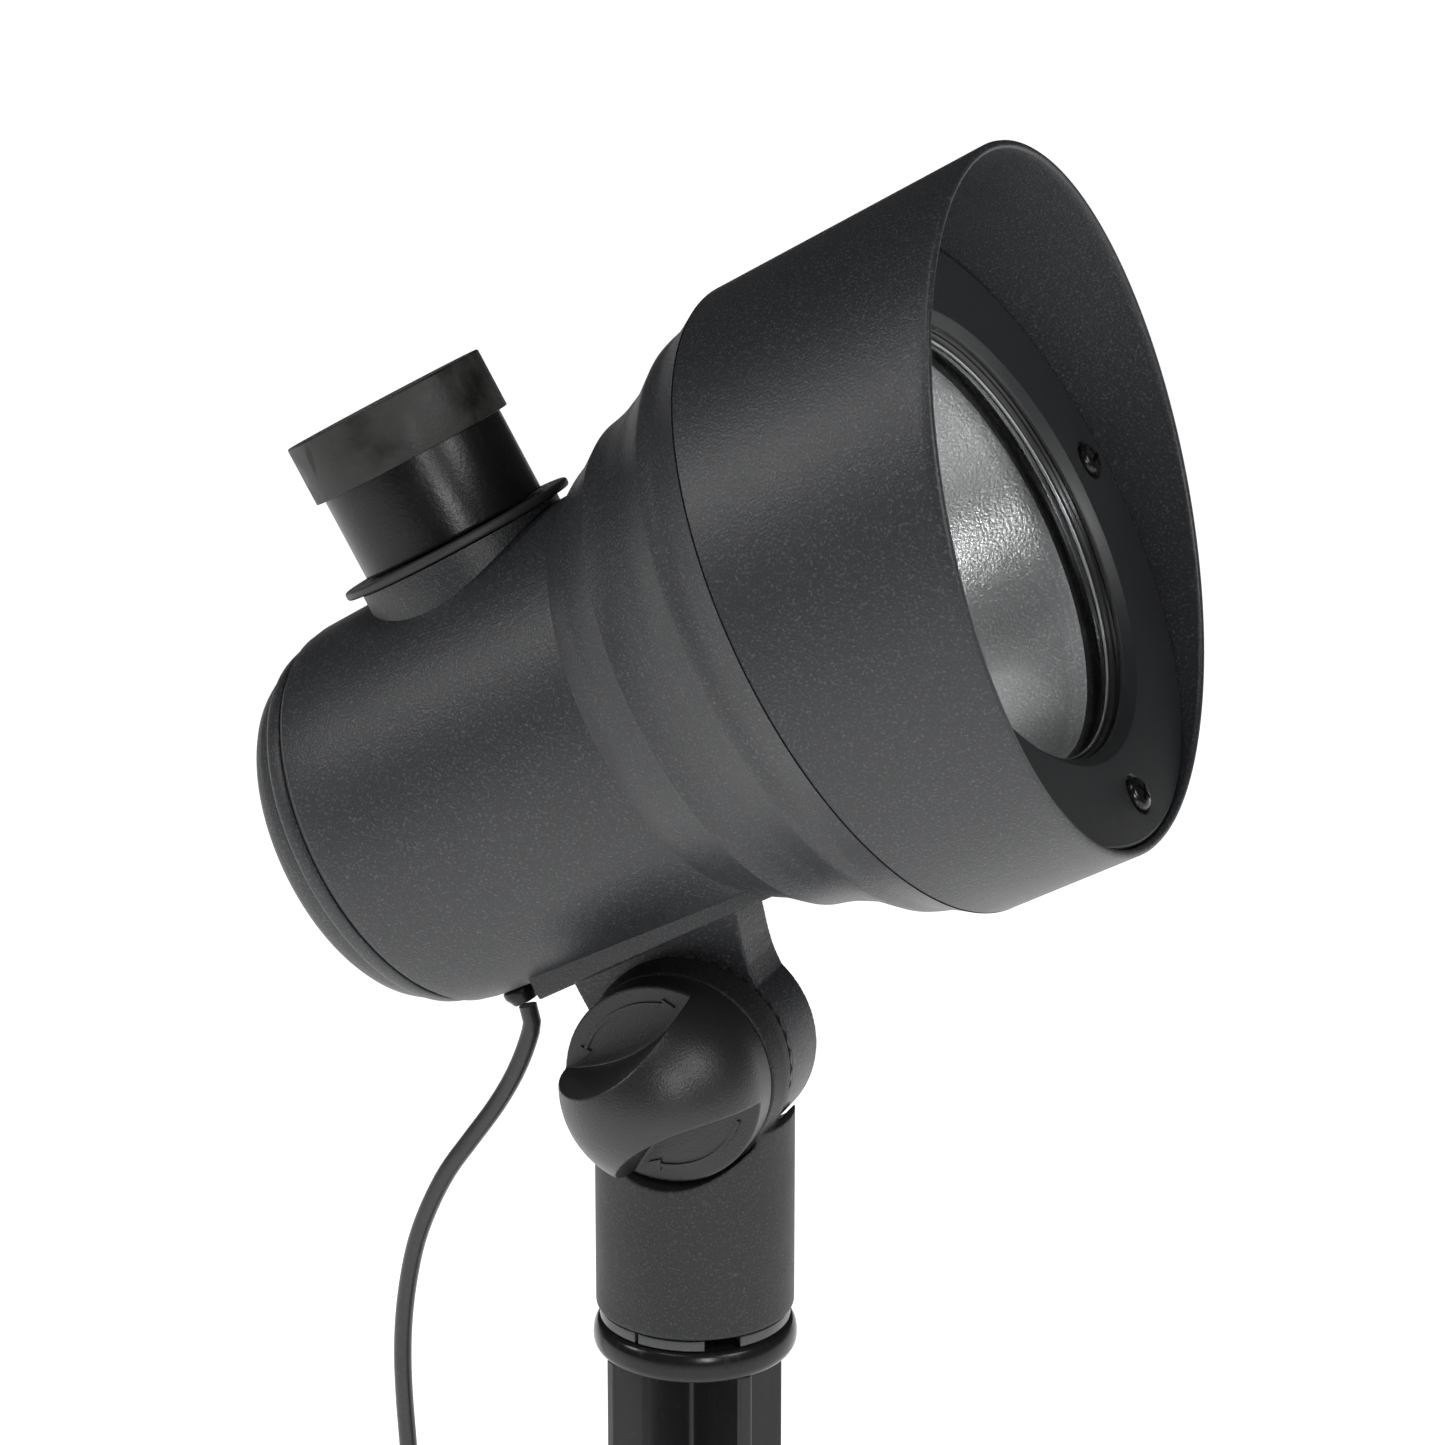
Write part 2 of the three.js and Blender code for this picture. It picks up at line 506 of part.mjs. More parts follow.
function splitBush() {
  const body = solidOf(turned([
    [SPIGOT_RADIUS + GAP, COLLAR_TOP + GAP], [15.5, COLLAR_TOP + GAP], [15.5, 7.2],
    [12.9, 7.2], [12.9, 28.5], [SPIGOT_RADIUS + GAP, 28.5],
    [SPIGOT_RADIUS + GAP, COLLAR_TOP + GAP],
  ]));
  const split = solidOf(block(0, 20, -0.6, 0.6, 0, 30)
    .rotateZ(THREE.MathUtils.degToRad(-106)));
  const window = solidOf(block(13.9, 20, -3, 3, 0, 10)
    .rotateZ(THREE.MathUtils.degToRad(-52)));
  return cut(body, split, window);
}

// ---- Lead: it hangs from the gland, and the rest is wound into a coil beside the spike ----------

const cordRoute = [
  [-28.1, -1.5, 55.1], [-27.4, -1.5, 52.4], [-28.2, -1.5, 48.8], [-30.5, -1.5, 43],
  [-33.9, -1.5, 36.9], [-38.5, -1.5, 30.2], [-42.7, -1.5, 24], [-46.1, -1.5, 17.2],
  [-48.5, -1.5, 10.7], [-50.1, -1.5, 3.7], [-51.1, -1.5, -3.4], [-51.5, -1.5, -10.4],
  [-51.4, -1.5, -17.3], [-50.9, -1.5, -26], [-50, -1.5, -40], [-49.6, -1.5, -58],
  [-50.2, -1.5, -84], [-52, -1.5, -112], [-54.2, -1.5, -140], [-55.6, -1.5, -165],
  [-55.8, -1.5, -176], [-54.7, -1.5, -182.4], [-52, -1.5, -186], [-48.6, -1.4, -187.1],
  [-45, -0.6, -187.2], [-41.9, 1.2, -187.2], [-39.6, 3.6, -187.2],
].map((point) => new THREE.Vector3(...point));

function supplyCord() {
  const section = new THREE.Shape();
  for (let i = 0; i < CORD_SIDES; i++) {
    const angle = 2 * Math.PI * i / CORD_SIDES;
    const point = [CORD_RADIUS * Math.cos(angle), CORD_RADIUS * Math.sin(angle)];
    if (i === 0) section.moveTo(...point);
    else section.lineTo(...point);
  }
  section.closePath();
  return solidOf(new THREE.ExtrudeGeometry(section, {
    steps: CORD_STEPS, bevelEnabled: false,
    extrudePath: new THREE.CatmullRomCurve3(cordRoute, false, 'centripetal'),
  }));
}

const coilHalfWidth = COIL_TURNS_ACROSS * CORD_RADIUS;
const coilHeight = COIL_LAYERS * 2 * CORD_RADIUS;
const coilInner = COIL_MEAN_RADIUS - coilHalfWidth;
const coilOuter = COIL_MEAN_RADIUS + coilHalfWidth;

function cordTie() {
  const bottom = COIL_BASE - GAP - TIE_THICKNESS;
  const top = COIL_BASE + coilHeight + GAP + TIE_THICKNESS;
  const reach = GAP + TIE_THICKNESS;
  const band = block(-coilOuter - reach, -coilInner + reach, -2.2, 2.2, bottom, top);
  const window = block(-coilOuter - GAP, -coilInner + GAP, -3, 3,
    COIL_BASE - GAP, COIL_BASE + coilHeight + GAP);
  return cut(solidOf(band), solidOf(window));
}

const CONNECTOR_START = 12.4;
const connectorAxis = COIL_BASE + coilHeight - CORD_RADIUS;
const CONNECTOR_SIDE = -(COIL_MEAN_RADIUS + coilHalfWidth - CORD_RADIUS);

const connectorBody = () => solidOf(alongPlusX(turned([
  [0, 0], [1.9, 0], [2.4, 4], [3, 9], [5.4, 11.5], [5.6, 16], [4.9, 16.3], [4.9, 26.3],
  [5.6, 26.6], [5.6, 32], [4.4, 33], [4.4, 35], [0, 35],
], 12)).translate(CONNECTOR_START, CONNECTOR_SIDE, connectorAxis));

const connectorNut = () => solidOf(alongPlusX(ring(4.9 + GAP, 7.2, 16.9, 25.7, 12))
  .translate(CONNECTOR_START, CONNECTOR_SIDE, connectorAxis));

const coilGroup = new THREE.Group();
coilGroup.position.set(...COIL_CENTRE, 0);
coilGroup.add(
  meshOf('cord_coil', solidOf(
    ring(coilInner, coilOuter, COIL_BASE, COIL_BASE + coilHeight, LARGE_ROUND)), CORD_SHEATH()),
  meshOf('cord_tie', cordTie(), GLOSS_PLASTIC()),
  meshOf('connector_body', connectorBody(), SATIN_PLASTIC()),
  meshOf('connector_nut', connectorNut(), SATIN_PLASTIC()),
);

// ---- Assembly -------------------------------------------------------------------------------------

const group = new THREE.Group();
group.add(
  head,
  knuckle,
  meshOf('post_tube', postTube(), TEXTURED_PLASTIC()),
  meshOf('split_bush', splitBush(), GREY_PLASTIC()),
  meshOf('stake', stake(), GLOSS_PLASTIC()),
  meshOf('supply_cord', supplyCord(), CORD_SHEATH()),
  coilGroup,
);

export default group;
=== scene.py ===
"""A hooded garden spotlight on a ground stake: its shapes, finishes and studio.

Lengths in the shape code are millimetres; mesh points are stored in metres.
"""

from math import atan2, cos, degrees, hypot, pi, radians, sin, sqrt, tan

import bmesh
import bpy
from mathutils import Matrix, Vector


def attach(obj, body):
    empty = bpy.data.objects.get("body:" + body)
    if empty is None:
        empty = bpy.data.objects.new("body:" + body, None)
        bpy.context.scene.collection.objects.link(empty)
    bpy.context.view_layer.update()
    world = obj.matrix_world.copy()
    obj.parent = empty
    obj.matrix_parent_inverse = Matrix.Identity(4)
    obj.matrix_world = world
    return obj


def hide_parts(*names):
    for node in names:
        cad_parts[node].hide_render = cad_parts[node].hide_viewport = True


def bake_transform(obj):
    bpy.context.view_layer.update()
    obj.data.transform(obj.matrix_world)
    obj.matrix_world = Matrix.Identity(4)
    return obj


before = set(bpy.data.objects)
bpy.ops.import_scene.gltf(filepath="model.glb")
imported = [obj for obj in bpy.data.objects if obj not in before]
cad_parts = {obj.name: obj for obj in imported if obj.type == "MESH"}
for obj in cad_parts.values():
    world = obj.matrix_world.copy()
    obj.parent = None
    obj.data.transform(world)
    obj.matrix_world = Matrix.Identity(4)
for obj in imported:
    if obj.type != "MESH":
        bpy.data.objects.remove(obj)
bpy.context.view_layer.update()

MM = 0.001
scene = bpy.context.scene

# ---- Where the parts of the lamp are ---------------------------------------------------------

HINGE = Vector((0, 0, 50.3))
LAMP_TILT = radians(30)
FORWARD = Vector((cos(LAMP_TILT), 0, sin(LAMP_TILT)))
UPWARD = Vector((-sin(LAMP_TILT), 0, cos(LAMP_TILT)))
LAMP_OFFSET = 54.1
LAMP_ORIGIN = HINGE + LAMP_OFFSET * UPWARD
TURRET_PLACE = 6
GLAND_PLACE = -21.8
GLAND_SIDE = -1.5


def place_at(origin, x_axis, z_axis):
    """The placing of a shape built about its own Z axis."""
    y_axis = z_axis.cross(x_axis)
    turn = Matrix((x_axis, y_axis, z_axis)).transposed().to_4x4()
    return Matrix.Translation(origin) @ turn


AXIS_Y = Vector((0, 1, 0))
STAKE = Matrix.Identity(4)
LAMP = place_at(LAMP_ORIGIN, UPWARD, FORWARD)
TURRET = place_at(LAMP_ORIGIN + TURRET_PLACE * FORWARD, FORWARD, UPWARD)
CLAMP = place_at(HINGE, Vector((1, 0, 0)), -AXIS_Y)
FAR_SIDE = place_at(HINGE, Vector((1, 0, 0)), AXIS_Y)
GLAND = place_at(
    LAMP_ORIGIN + GLAND_PLACE * FORWARD + Vector((0, GLAND_SIDE, 0)), FORWARD, -UPWARD)

# ---- Camera ----------------------------------------------------------------------------------

CAMERA_AZIMUTH = radians(21.04)
CAMERA_ELEVATION = radians(18.38)
CAMERA_PLACE = Vector((0.27115, -0.69262, 0.35278))
CAMERA_LENS = 125.7
CAMERA_SENSOR = 36


def add_camera():
    """Looks slightly down at the lamp from its open side."""
    a, e = CAMERA_AZIMUTH, CAMERA_ELEVATION
    right = Vector((cos(a), sin(a), 0))
    back = Vector((sin(a) * cos(e), -cos(a) * cos(e), sin(e)))
    lens = bpy.data.cameras.new("studio_camera")
    lens.lens = CAMERA_LENS
    lens.sensor_width = CAMERA_SENSOR
    lens.clip_start = 0.01
    camera = bpy.data.objects.new("studio_camera", lens)
    camera.matrix_world = place_at(CAMERA_PLACE, right, back)
    scene.collection.objects.link(camera)
    scene.camera = camera


add_camera()

# ---- Mesh making -----------------------------------------------------------------------------

SHARP_ANGLE = radians(38)
NECK_SHARP_ANGLE = radians(16)
TOOTH_SHARP_ANGLE = radians(20)


def piece_from(name, form, place=STAKE):
    """A piece from a bmesh in millimetres, stood where place says."""
    bmesh.ops.recalc_face_normals(form, faces=form.faces)
    form.transform(Matrix.Scale(MM, 4) @ place)
    mesh = bpy.data.meshes.new(name)
    form.to_mesh(mesh)
    form.free()
    mesh.shade_smooth()
    mesh.set_sharp_from_angle(angle=SHARP_ANGLE)
    piece = bpy.data.objects.new(name, mesh)
    scene.collection.objects.link(piece)
    return piece


def rounded(profile, radius=0.3, closed=False, steps=3):
    """The profile with each corner eased by about that radius."""
    count = len(profile)
    points = []
    for i, corner in enumerate(profile):
        if not closed and i in (0, count - 1):
            points.append(corner)
            continue
        here = Vector(corner)
        before = Vector(profile[i - 1]) - here
        after = Vector(profile[(i + 1) % count]) - here
        reach = min(radius, 0.4 * before.length, 0.4 * after.length)
        if before.angle(-after, 0) < radians(8) or reach < 0.01:
            points.append(corner)
            continue
        first = here + reach * before.normalized()
        last = here + reach * after.normalized()
        for k in range(steps + 1):
            t = k / steps
            point = (1 - t) ** 2 * first + 2 * t * (1 - t) * here + t * t * last
            points.append(tuple(point))
    return points


def turned_form(profile, around=128, closed=False):
    """A lathe form about Z from (radius, height) points."""
    form = bmesh.new()
    rings = []
    for radius, height in profile:
        if radius < 1e-6:
            rings.append([form.verts.new((0, 0, height))])
            continue
        rings.append([
            form.verts.new((
                radius * cos(2 * pi * i / around), radius * sin(2 * pi * i / around), height))
            for i in range(around)])
    pairs = list(zip(rings, rings[1:]))
    if closed:
        pairs.append((rings[-1], rings[0]))
    for low, high in pairs:
        for i in range(around):
            j = (i + 1) % around
            if len(low) == 1 and len(high) == 1:
                continue
            if len(low) == 1:
                form.faces.new((low[0], high[j], high[i]))
            elif len(high) == 1:
                form.faces.new((low[i], low[j], high[0]))
            else:
                form.faces.new((low[i], low[j], high[j], high[i]))
    return form


def turned(name, profile, place=STAKE, ease=0.3, around=128, closed=False):
    profile = rounded(profile, ease, closed) if ease else profile
    return piece_from(name, turned_form(profile, around, closed), place)


def pillar(name, radius, low, high, place=STAKE, around=96, at=(0, 0)):
    """A plain round tool for cutting or joining."""
    form = turned_form([(0, low), (radius, low), (radius, high), (0, high)], around)
    form.transform(Matrix.Translation((at[0], at[1], 0)))
    return piece_from(name, form, place)


def extruded(name, outline, low, high, place=STAKE):
    """A flat outline given a thickness along Z."""
    form = bmesh.new()
    bottom = [form.verts.new((x, y, low)) for x, y in outline]
    top = [form.verts.new((x, y, high)) for x, y in outline]
    form.faces.new(bottom[::-1])
    form.faces.new(top)
    for i in range(len(outline)):
        j = (i + 1) % len(outline)
        form.faces.new((bottom[i], bottom[j], top[j], top[i]))
    return piece_from(name, form, place)


def block(name, low, high, place=STAKE):
    outline = [(low[0], low[1]), (high[0], low[1]), (high[0], high[1]), (low[0], high[1])]
    return extruded(name, outline, low[2], high[2], place)


def settle(piece):
    """Makes the modifiers' result the piece's own mesh."""
    graph = bpy.context.evaluated_depsgraph_get()
    mesh = bpy.data.meshes.new_from_object(piece.evaluated_get(graph))
    piece.modifiers.clear()
    piece.data = mesh
    mesh.shade_smooth()
    mesh.set_sharp_from_angle(angle=SHARP_ANGLE)
    return piece


def carved(piece, *tools, operation="DIFFERENCE"):
    for tool in tools:
        cut = piece.modifiers.new("cut", "BOOLEAN")
        cut.operation = operation
        cut.solver = "EXACT"
        cut.object = tool
        settle(piece)
        bpy.data.objects.remove(tool)
    return piece


def merged(piece, *others):
    """One mesh that holds all of the closed shapes."""
    form = bmesh.new()
    for other in (piece, *others):
        form.from_mesh(other.data)
    mesh = bpy.data.meshes.new(piece.name)
    form.to_mesh(mesh)
    form.free()
    piece.data = mesh
    for other in others:
        bpy.data.objects.remove(other)
    return piece


def fused(piece, cell, easing=4):
    """An even skin over joined shapes, so that they meet in the small fillets of a casting."""
    skin = piece.modifiers.new("skin", "REMESH")
    skin.mode = "VOXEL"
    skin.voxel_size = cell * MM
    ease = piece.modifiers.new("ease", "SMOOTH")
    ease.factor = 0.5
    ease.iterations = easing
    settle(piece)
    piece.data.shade_smooth()
    piece.data.set_sharp_from_angle(angle=radians(180))
    return piece


def arc(radius, start, end, steps=24, centre=(0, 0)):
    """Points on an arc, angles in degrees."""
    angles = [radians(start + (end - start) * i / steps) for i in range(steps + 1)]
    return [(centre[0] + radius * cos(a), centre[1] + radius * sin(a)) for a in angles]


# ---- Materials -------------------------------------------------------------------------------


def new_group(name, inputs, outputs):
    group = bpy.data.node_groups.new(name, "ShaderNodeTree")
    for label, default in inputs:
        socket = group.interface.new_socket(label, in_out="INPUT", socket_type="NodeSocketFloat")
        socket.default_value = default
    for label, kind in outputs:
        group.interface.new_socket(label, in_out="OUTPUT", socket_type=kind)
    enter = group.nodes.new("NodeGroupInput")
    leave = group.nodes.new("NodeGroupOutput")
    return group, enter, leave


def math_node(tree, operation, *values):
    node = tree.nodes.new("ShaderNodeMath")
    node.operation = operation
    for i, value in enumerate(values):
        if isinstance(value, (int, float)):
            node.inputs[i].default_value = value
        else:
            tree.links.new(value, node.inputs[i])
    return node.outputs[0]


def noise_node(tree, where, scale, detail=2.0, roughness=0.5):
    node = tree.nodes.new("ShaderNodeTexNoise")
    node.inputs["Detail"].default_value = detail
    node.inputs["Roughness"].default_value = roughness
    tree.links.new(where, node.inputs["Vector"])
    if isinstance(scale, (int, float)):
        node.inputs["Scale"].default_value = scale
    else:
        tree.links.new(scale, node.inputs["Scale"])
    return node.outputs["Fac"]


def surface_grain_group():
    """Fine grain of a textured surface: a height and a mask of its high spots."""
    group, enter, leave = new_group(
        "surface grain", [("Grains per metre", 3000.0), ("Coarse share", 0.3)],
        [("Height", "NodeSocketFloat"), ("High spots", "NodeSocketFloat")])
    where = group.nodes.new("ShaderNodeTexCoord").outputs["Object"]
    fine = noise_node(group, where, enter.outputs["Grains per metre"], 2.0, 0.6)
    wide_scale = math_node(group, "MULTIPLY", enter.outputs["Grains per metre"], 0.22)
    wide = noise_node(group, where, wide_scale, 1.0, 0.5)
    wide_part = math_node(group, "MULTIPLY", wide, enter.outputs["Coarse share"])
    height = math_node(group, "ADD", fine, wide_part)
    spots = group.nodes.new("ShaderNodeMapRange")
    spots.inputs["From Min"].default_value = 0.55
    spots.inputs["From Max"].default_value = 0.72
    group.links.new(fine, spots.inputs["Value"])
    group.links.new(height, leave.inputs["Height"])
    group.links.new(spots.outputs["Result"], leave.inputs["High spots"])
    return group


def handling_group():
    """Soft patches where hands and weather have changed the sheen."""
    group, enter, leave = new_group(
        "handling", [("Patches per metre", 40.0), ("Scratches per metre", 300.0)],
        [("Patches", "NodeSocketFloat"), ("Scratches", "NodeSocketFloat")])
    where = group.nodes.new("ShaderNodeTexCoord").outputs["Object"]
    patches = noise_node(group, where, enter.outputs["Patches per metre"], 3.0, 0.55)
    soft = group.nodes.new("ShaderNodeMapRange")
    soft.inputs["From Min"].default_value = 0.35
    soft.inputs["From Max"].default_value = 0.7
    group.links.new(patches, soft.inputs["Value"])
    stretch = group.nodes.new("ShaderNodeMapping")
    stretch.inputs["Scale"].default_value = (1.0, 1.3, 0.06)
    stretch.inputs["Rotation"].default_value = (0.4, 0.3, 0.2)
    group.links.new(where, stretch.inputs["Vector"])
    lines = noise_node(group, stretch.outputs["Vector"], enter.outputs["Scratches per metre"], 1.0)
    thin = group.nodes.new("ShaderNodeMapRange")
    thin.inputs["From Min"].default_value = 0.66
    thin.inputs["From Max"].default_value = 0.74
    group.links.new(lines, thin.inputs["Value"])
    group.links.new(soft.outputs["Result"], leave.inputs["Patches"])
    group.links.new(thin.outputs["Result"], leave.inputs["Scratches"])
    return group


SURFACE_GRAIN = surface_grain_group()
HANDLING = handling_group()


def mixed_colour(tree, amount, dark, light):
    mix = tree.nodes.new("ShaderNodeMix")
    mix.data_type = "RGBA"
    mix.inputs["A"].default_value = (*dark, 1)
    mix.inputs["B"].default_value = (*light, 1)
    tree.links.new(amount, mix.inputs["Factor"])
    return mix.outputs["Result"]


def ranged(tree, value, low, high):
    node = tree.nodes.new("ShaderNodeMapRange")
    node.inputs["To Min"].default_value = low
    node.inputs["To Max"].default_value = high
    tree.links.new(value, node.inputs["Value"])
    return node.outputs["Result"]


def finish(name, dark, light, roughness, grain=3000, relief=0.03, coarse=0.3, metal=0.0,
           patches=40, scratches=0.0, coat=0.0, specular=0.5, by="spots"):
    """A material whose grain, sheen patches and fine scratches vary over the surface.

    dark and light are its colour between grains and on them, or between patches.
    roughness is the range over its patches, and relief the grain's depth in millimetres.
    """
    material = bpy.data.materials.new(name)
    material.use_nodes = True
    tree = material.node_tree
    shader = tree.nodes["Principled BSDF"]
    shader.inputs["Metallic"].default_value = metal
    shader.inputs["Coat Weight"].default_value = coat
    shader.inputs["Coat Roughness"].default_value = 0.12
    shader.inputs["Specular IOR Level"].default_value = specular
    texture = tree.nodes.new("ShaderNodeGroup")
    texture.node_tree = SURFACE_GRAIN
    texture.inputs["Grains per metre"].default_value = grain
    texture.inputs["Coarse share"].default_value = coarse
    wear = tree.nodes.new("ShaderNodeGroup")
    wear.node_tree = HANDLING
    wear.inputs["Patches per metre"].default_value = patches
    amount = texture.outputs["High spots"] if by == "spots" else wear.outputs["Patches"]
    tree.links.new(mixed_colour(tree, amount, dark, light), shader.inputs["Base Color"])
    sheen = ranged(tree, wear.outputs["Patches"], *roughness)
    height = texture.outputs["Height"]
    if scratches:
        cut = math_node(tree, "MULTIPLY", wear.outputs["Scratches"], scratches)
        sheen = math_node(tree, "ADD", sheen, math_node(tree, "MULTIPLY", cut, 0.25))
        height = math_node(tree, "SUBTRACT", height, cut)
    tree.links.new(sheen, shader.inputs["Roughness"])
    bump = tree.nodes.new("ShaderNodeBump")
    bump.inputs["Strength"].default_value = 1.0
    bump.inputs["Distance"].default_value = relief * MM
    tree.links.new(height, bump.inputs["Height"])
    tree.links.new(bump.outputs["Normal"], shader.inputs["Normal"])
    return material


def lens_finish():
    """A thin clear pane: what it doesn't reflect goes straight through."""
    material = bpy.data.materials.new("thin lens glass")
    material.use_nodes = True
    tree = material.node_tree
    shader = tree.nodes["Principled BSDF"]
    shader.inputs["Base Color"].default_value = (0.93, 0.96, 0.96, 1)
    shader.inputs["Metallic"].default_value = 1
    wear = tree.nodes.new("ShaderNodeGroup")
    wear.node_tree = HANDLING
    wear.inputs["Patches per metre"].default_value = 60
    tree.links.new(ranged(tree, wear.outputs["Patches"], 0.02, 0.06), shader.inputs["Roughness"])
    slant = tree.nodes.new("ShaderNodeLayerWeight").outputs["Facing"]
    mirrored = math_node(tree, "POWER", slant, 5.0)
    tree.links.new(ranged(tree, mirrored, 0.04, 0.95), shader.inputs["Alpha"])
    return material


def glass_finish():
    material = bpy.data.materials.new("clear glass")
    material.use_nodes = True
    tree = material.node_tree
    shader = tree.nodes["Principled BSDF"]
    shader.inputs["Base Color"].default_value = (0.96, 0.98, 0.98, 1)
    shader.inputs["Metallic"].default_value = 0
    shader.inputs["Transmission Weight"].default_value = 1
    shader.inputs["IOR"].default_value = 1.46
    wear = tree.nodes.new("ShaderNodeGroup")
    wear.node_tree = HANDLING
    wear.inputs["Patches per metre"].default_value = 60
    tree.links.new(ranged(tree, wear.outputs["Patches"], 0.0, 0.03), shader.inputs["Roughness"])
    return material


POWDER_COAT = finish("charcoal powder coat", (0.017, 0.018, 0.020), (0.074, 0.076, 0.081),
                     (0.40, 0.48), grain=2500, relief=0.09, coarse=0.5, patches=30)
HOOD_COAT = finish("hood powder coat", (0.017, 0.018, 0.020), (0.066, 0.068, 0.073),
                   (0.40, 0.47), grain=2500, relief=0.08, coarse=0.5, patches=24)
BEZEL_COAT = finish("bezel satin coat", (0.014, 0.015, 0.016), (0.022, 0.023, 0.025),
                    (0.40, 0.5), grain=2600, relief=0.03, patches=40)
ARM_COAT = finish("bracket powder coat", (0.024, 0.025, 0.028), (0.085, 0.086, 0.090),
                  (0.42, 0.5), grain=1900, relief=0.10, coarse=0.4)
TUBE_PLASTIC = finish("spark-textured plastic", (0.014, 0.0145, 0.015), (0.048, 0.049, 0.050),
                      (0.5, 0.58), grain=2500, relief=0.09, coarse=0.5, specular=0.38)
KNOB_PLASTIC = finish("satin knob plastic", (0.015, 0.015, 0.016), (0.022, 0.022, 0.023),
                      (0.34, 0.42), grain=2800, relief=0.07, coarse=0.3, patches=60)
TURRET_PLASTIC = finish("black turret plastic", (0.007, 0.007, 0.007), (0.012, 0.012, 0.0115),
                        (0.26, 0.36), grain=1500, relief=0.035, coarse=0.8, patches=70,
                        scratches=0.4, specular=0.25)
CAP_RUBBER = finish("scuffed cap rubber", (0.006, 0.006, 0.0055), (0.028, 0.027, 0.025),
                    (0.42, 0.66), grain=1500, relief=0.04, coarse=0.8, patches=170,
                    scratches=0.7, specular=0.38, by="patches")
FLANGE_RUBBER = finish("flange rubber", (0.016, 0.016, 0.016), (0.026, 0.026, 0.026),
                       (0.45, 0.6), grain=2600, relief=0.02, patches=90)
GASKET_RUBBER = finish("gasket rubber", (0.012, 0.012, 0.012), (0.02, 0.02, 0.02),
                       (0.25, 0.4), grain=2600, relief=0.01, patches=90)
STAKE_PLASTIC = finish("glossy stake plastic", (0.010, 0.010, 0.011), (0.014, 0.014, 0.015),
                       (0.17, 0.28), grain=900, relief=0.008, coarse=1.0, patches=60,
                       scratches=0.5, specular=0.28)
BUSH_PLASTIC = finish("bush plastic", (0.035, 0.036, 0.038), (0.055, 0.056, 0.058),
                      (0.2, 0.34), grain=1600, relief=0.012, patches=120, scratches=0.5)
CORD_SHEATH = finish("cord sheath", (0.020, 0.020, 0.021), (0.032, 0.032, 0.033),
                     (0.30, 0.42), grain=1500, relief=0.012, coarse=0.8, patches=80)
BLACK_STEEL = finish("blackened steel", (0.02, 0.02, 0.021), (0.06, 0.06, 0.06),
                     (0.16, 0.28), grain=2200, relief=0.008, metal=0.7, patches=200,
                     scratches=0.5)
ZINC_STEEL = finish("zinc-plated steel", (0.42, 0.43, 0.44), (0.58, 0.58, 0.57),
                    (0.24, 0.4), grain=1500, relief=0.01, metal=1.0, patches=160,
                    scratches=0.6, by="patches")
REFLECTOR_METAL = finish("hammered reflector metal", (0.58, 0.585, 0.59), (0.98, 0.98, 0.97),
                         (0.28, 0.34), grain=2200, relief=0.08, coarse=0.1, metal=1.0)
ALUMINIUM = finish("machined aluminium", (0.55, 0.56, 0.57), (0.68, 0.68, 0.69),
                   (0.28, 0.42), grain=2500, relief=0.01, metal=1.0, by="patches")
BRASS = finish("turned brass", (0.50, 0.36, 0.13), (0.62, 0.47, 0.2),
               (0.25, 0.4), grain=2500, relief=0.01, metal=1.0, by="patches")
CIRCUIT_BOARD = finish("green circuit board", (0.02, 0.09, 0.035), (0.035, 0.14, 0.055),
                       (0.3, 0.45), grain=1400, relief=0.01, patches=300, by="patches")
WHITE_BOARD = finish("white lacquered board", (0.6, 0.61, 0.6), (0.76, 0.77, 0.75),
                     (0.3, 0.42), grain=1800, relief=0.008, patches=200, by="patches")
PHOSPHOR = finish("phosphor", (0.62, 0.45, 0.06), (0.78, 0.62, 0.14),
                  (0.35, 0.5), grain=2200, relief=0.02, patches=400, by="patches")
FERRITE = finish("dark ferrite", (0.03, 0.03, 0.032), (0.055, 0.055, 0.057),
                 (0.45, 0.6), grain=1800, relief=0.03)
CLEAR_GLASS = glass_finish()
LENS_GLASS = lens_finish()


def finished(piece, body, material, slot, *nodes):
    """Gives a piece its material and body, and hides the CAD nodes that it stands for."""
    piece.data.materials.clear()
    piece.data.materials.append(material)
    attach(piece, body)
    if nodes:
        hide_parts(*nodes)
    return piece


# ---- Lead ------------------------------------------------------------------------------------

CORD_DIAMETER = 3.0
HANGING_ROUTE = [
    (-28.1, -1.5, 55.1), (-27.4, -1.5, 52.4), (-28.2, -1.5, 48.8), (-30.5, -1.5, 43),
    (-33.9, -1.5, 36.9), (-38.5, -1.5, 30.2), (-42.7, -1.5, 24), (-46.1, -1.5, 17.2),
    (-48.5, -1.5, 10.7), (-50.1, -1.5, 3.7), (-51.1, -1.5, -3.4), (-51.5, -1.5, -10.4),
    (-51.4, -1.5, -17.3), (-50.9, -1.5, -26), (-50, -1.5, -40), (-49.6, -1.5, -58),
    (-50.2, -1.5, -84), (-52, -1.5, -112), (-54.2, -1.5, -140), (-55.6, -1.5, -165),
    (-55.8, -1.5, -176), (-54.7, -1.5, -182.4), (-52, -1.5, -186), (-48.6, -1.4, -187.1),
    (-45, -0.6, -187.2), (-41.9, 1.2, -187.2), (-39.6, 3.6, -187.2),
]
COIL_CENTRE = (-50, 8)
COIL_FLOOR = -188.7
COIL_ENTRY = degrees(atan2(3.6 - 8, -39.6 + 50))
COIL_EXIT = -90 + 8 * 360
CONNECTOR_START = 12.4
# (angle where the move ends, radius after it, layer after it); each move takes 30 degrees.
COIL_MOVES = [
    (340, 18, 0), (700, 21, 0), (1030, 21, 1), (1360, 18, 1), (1720, 15, 1),
    (2050, 15, 2), (2380, 18, 2), (2740, 21, 2),
]


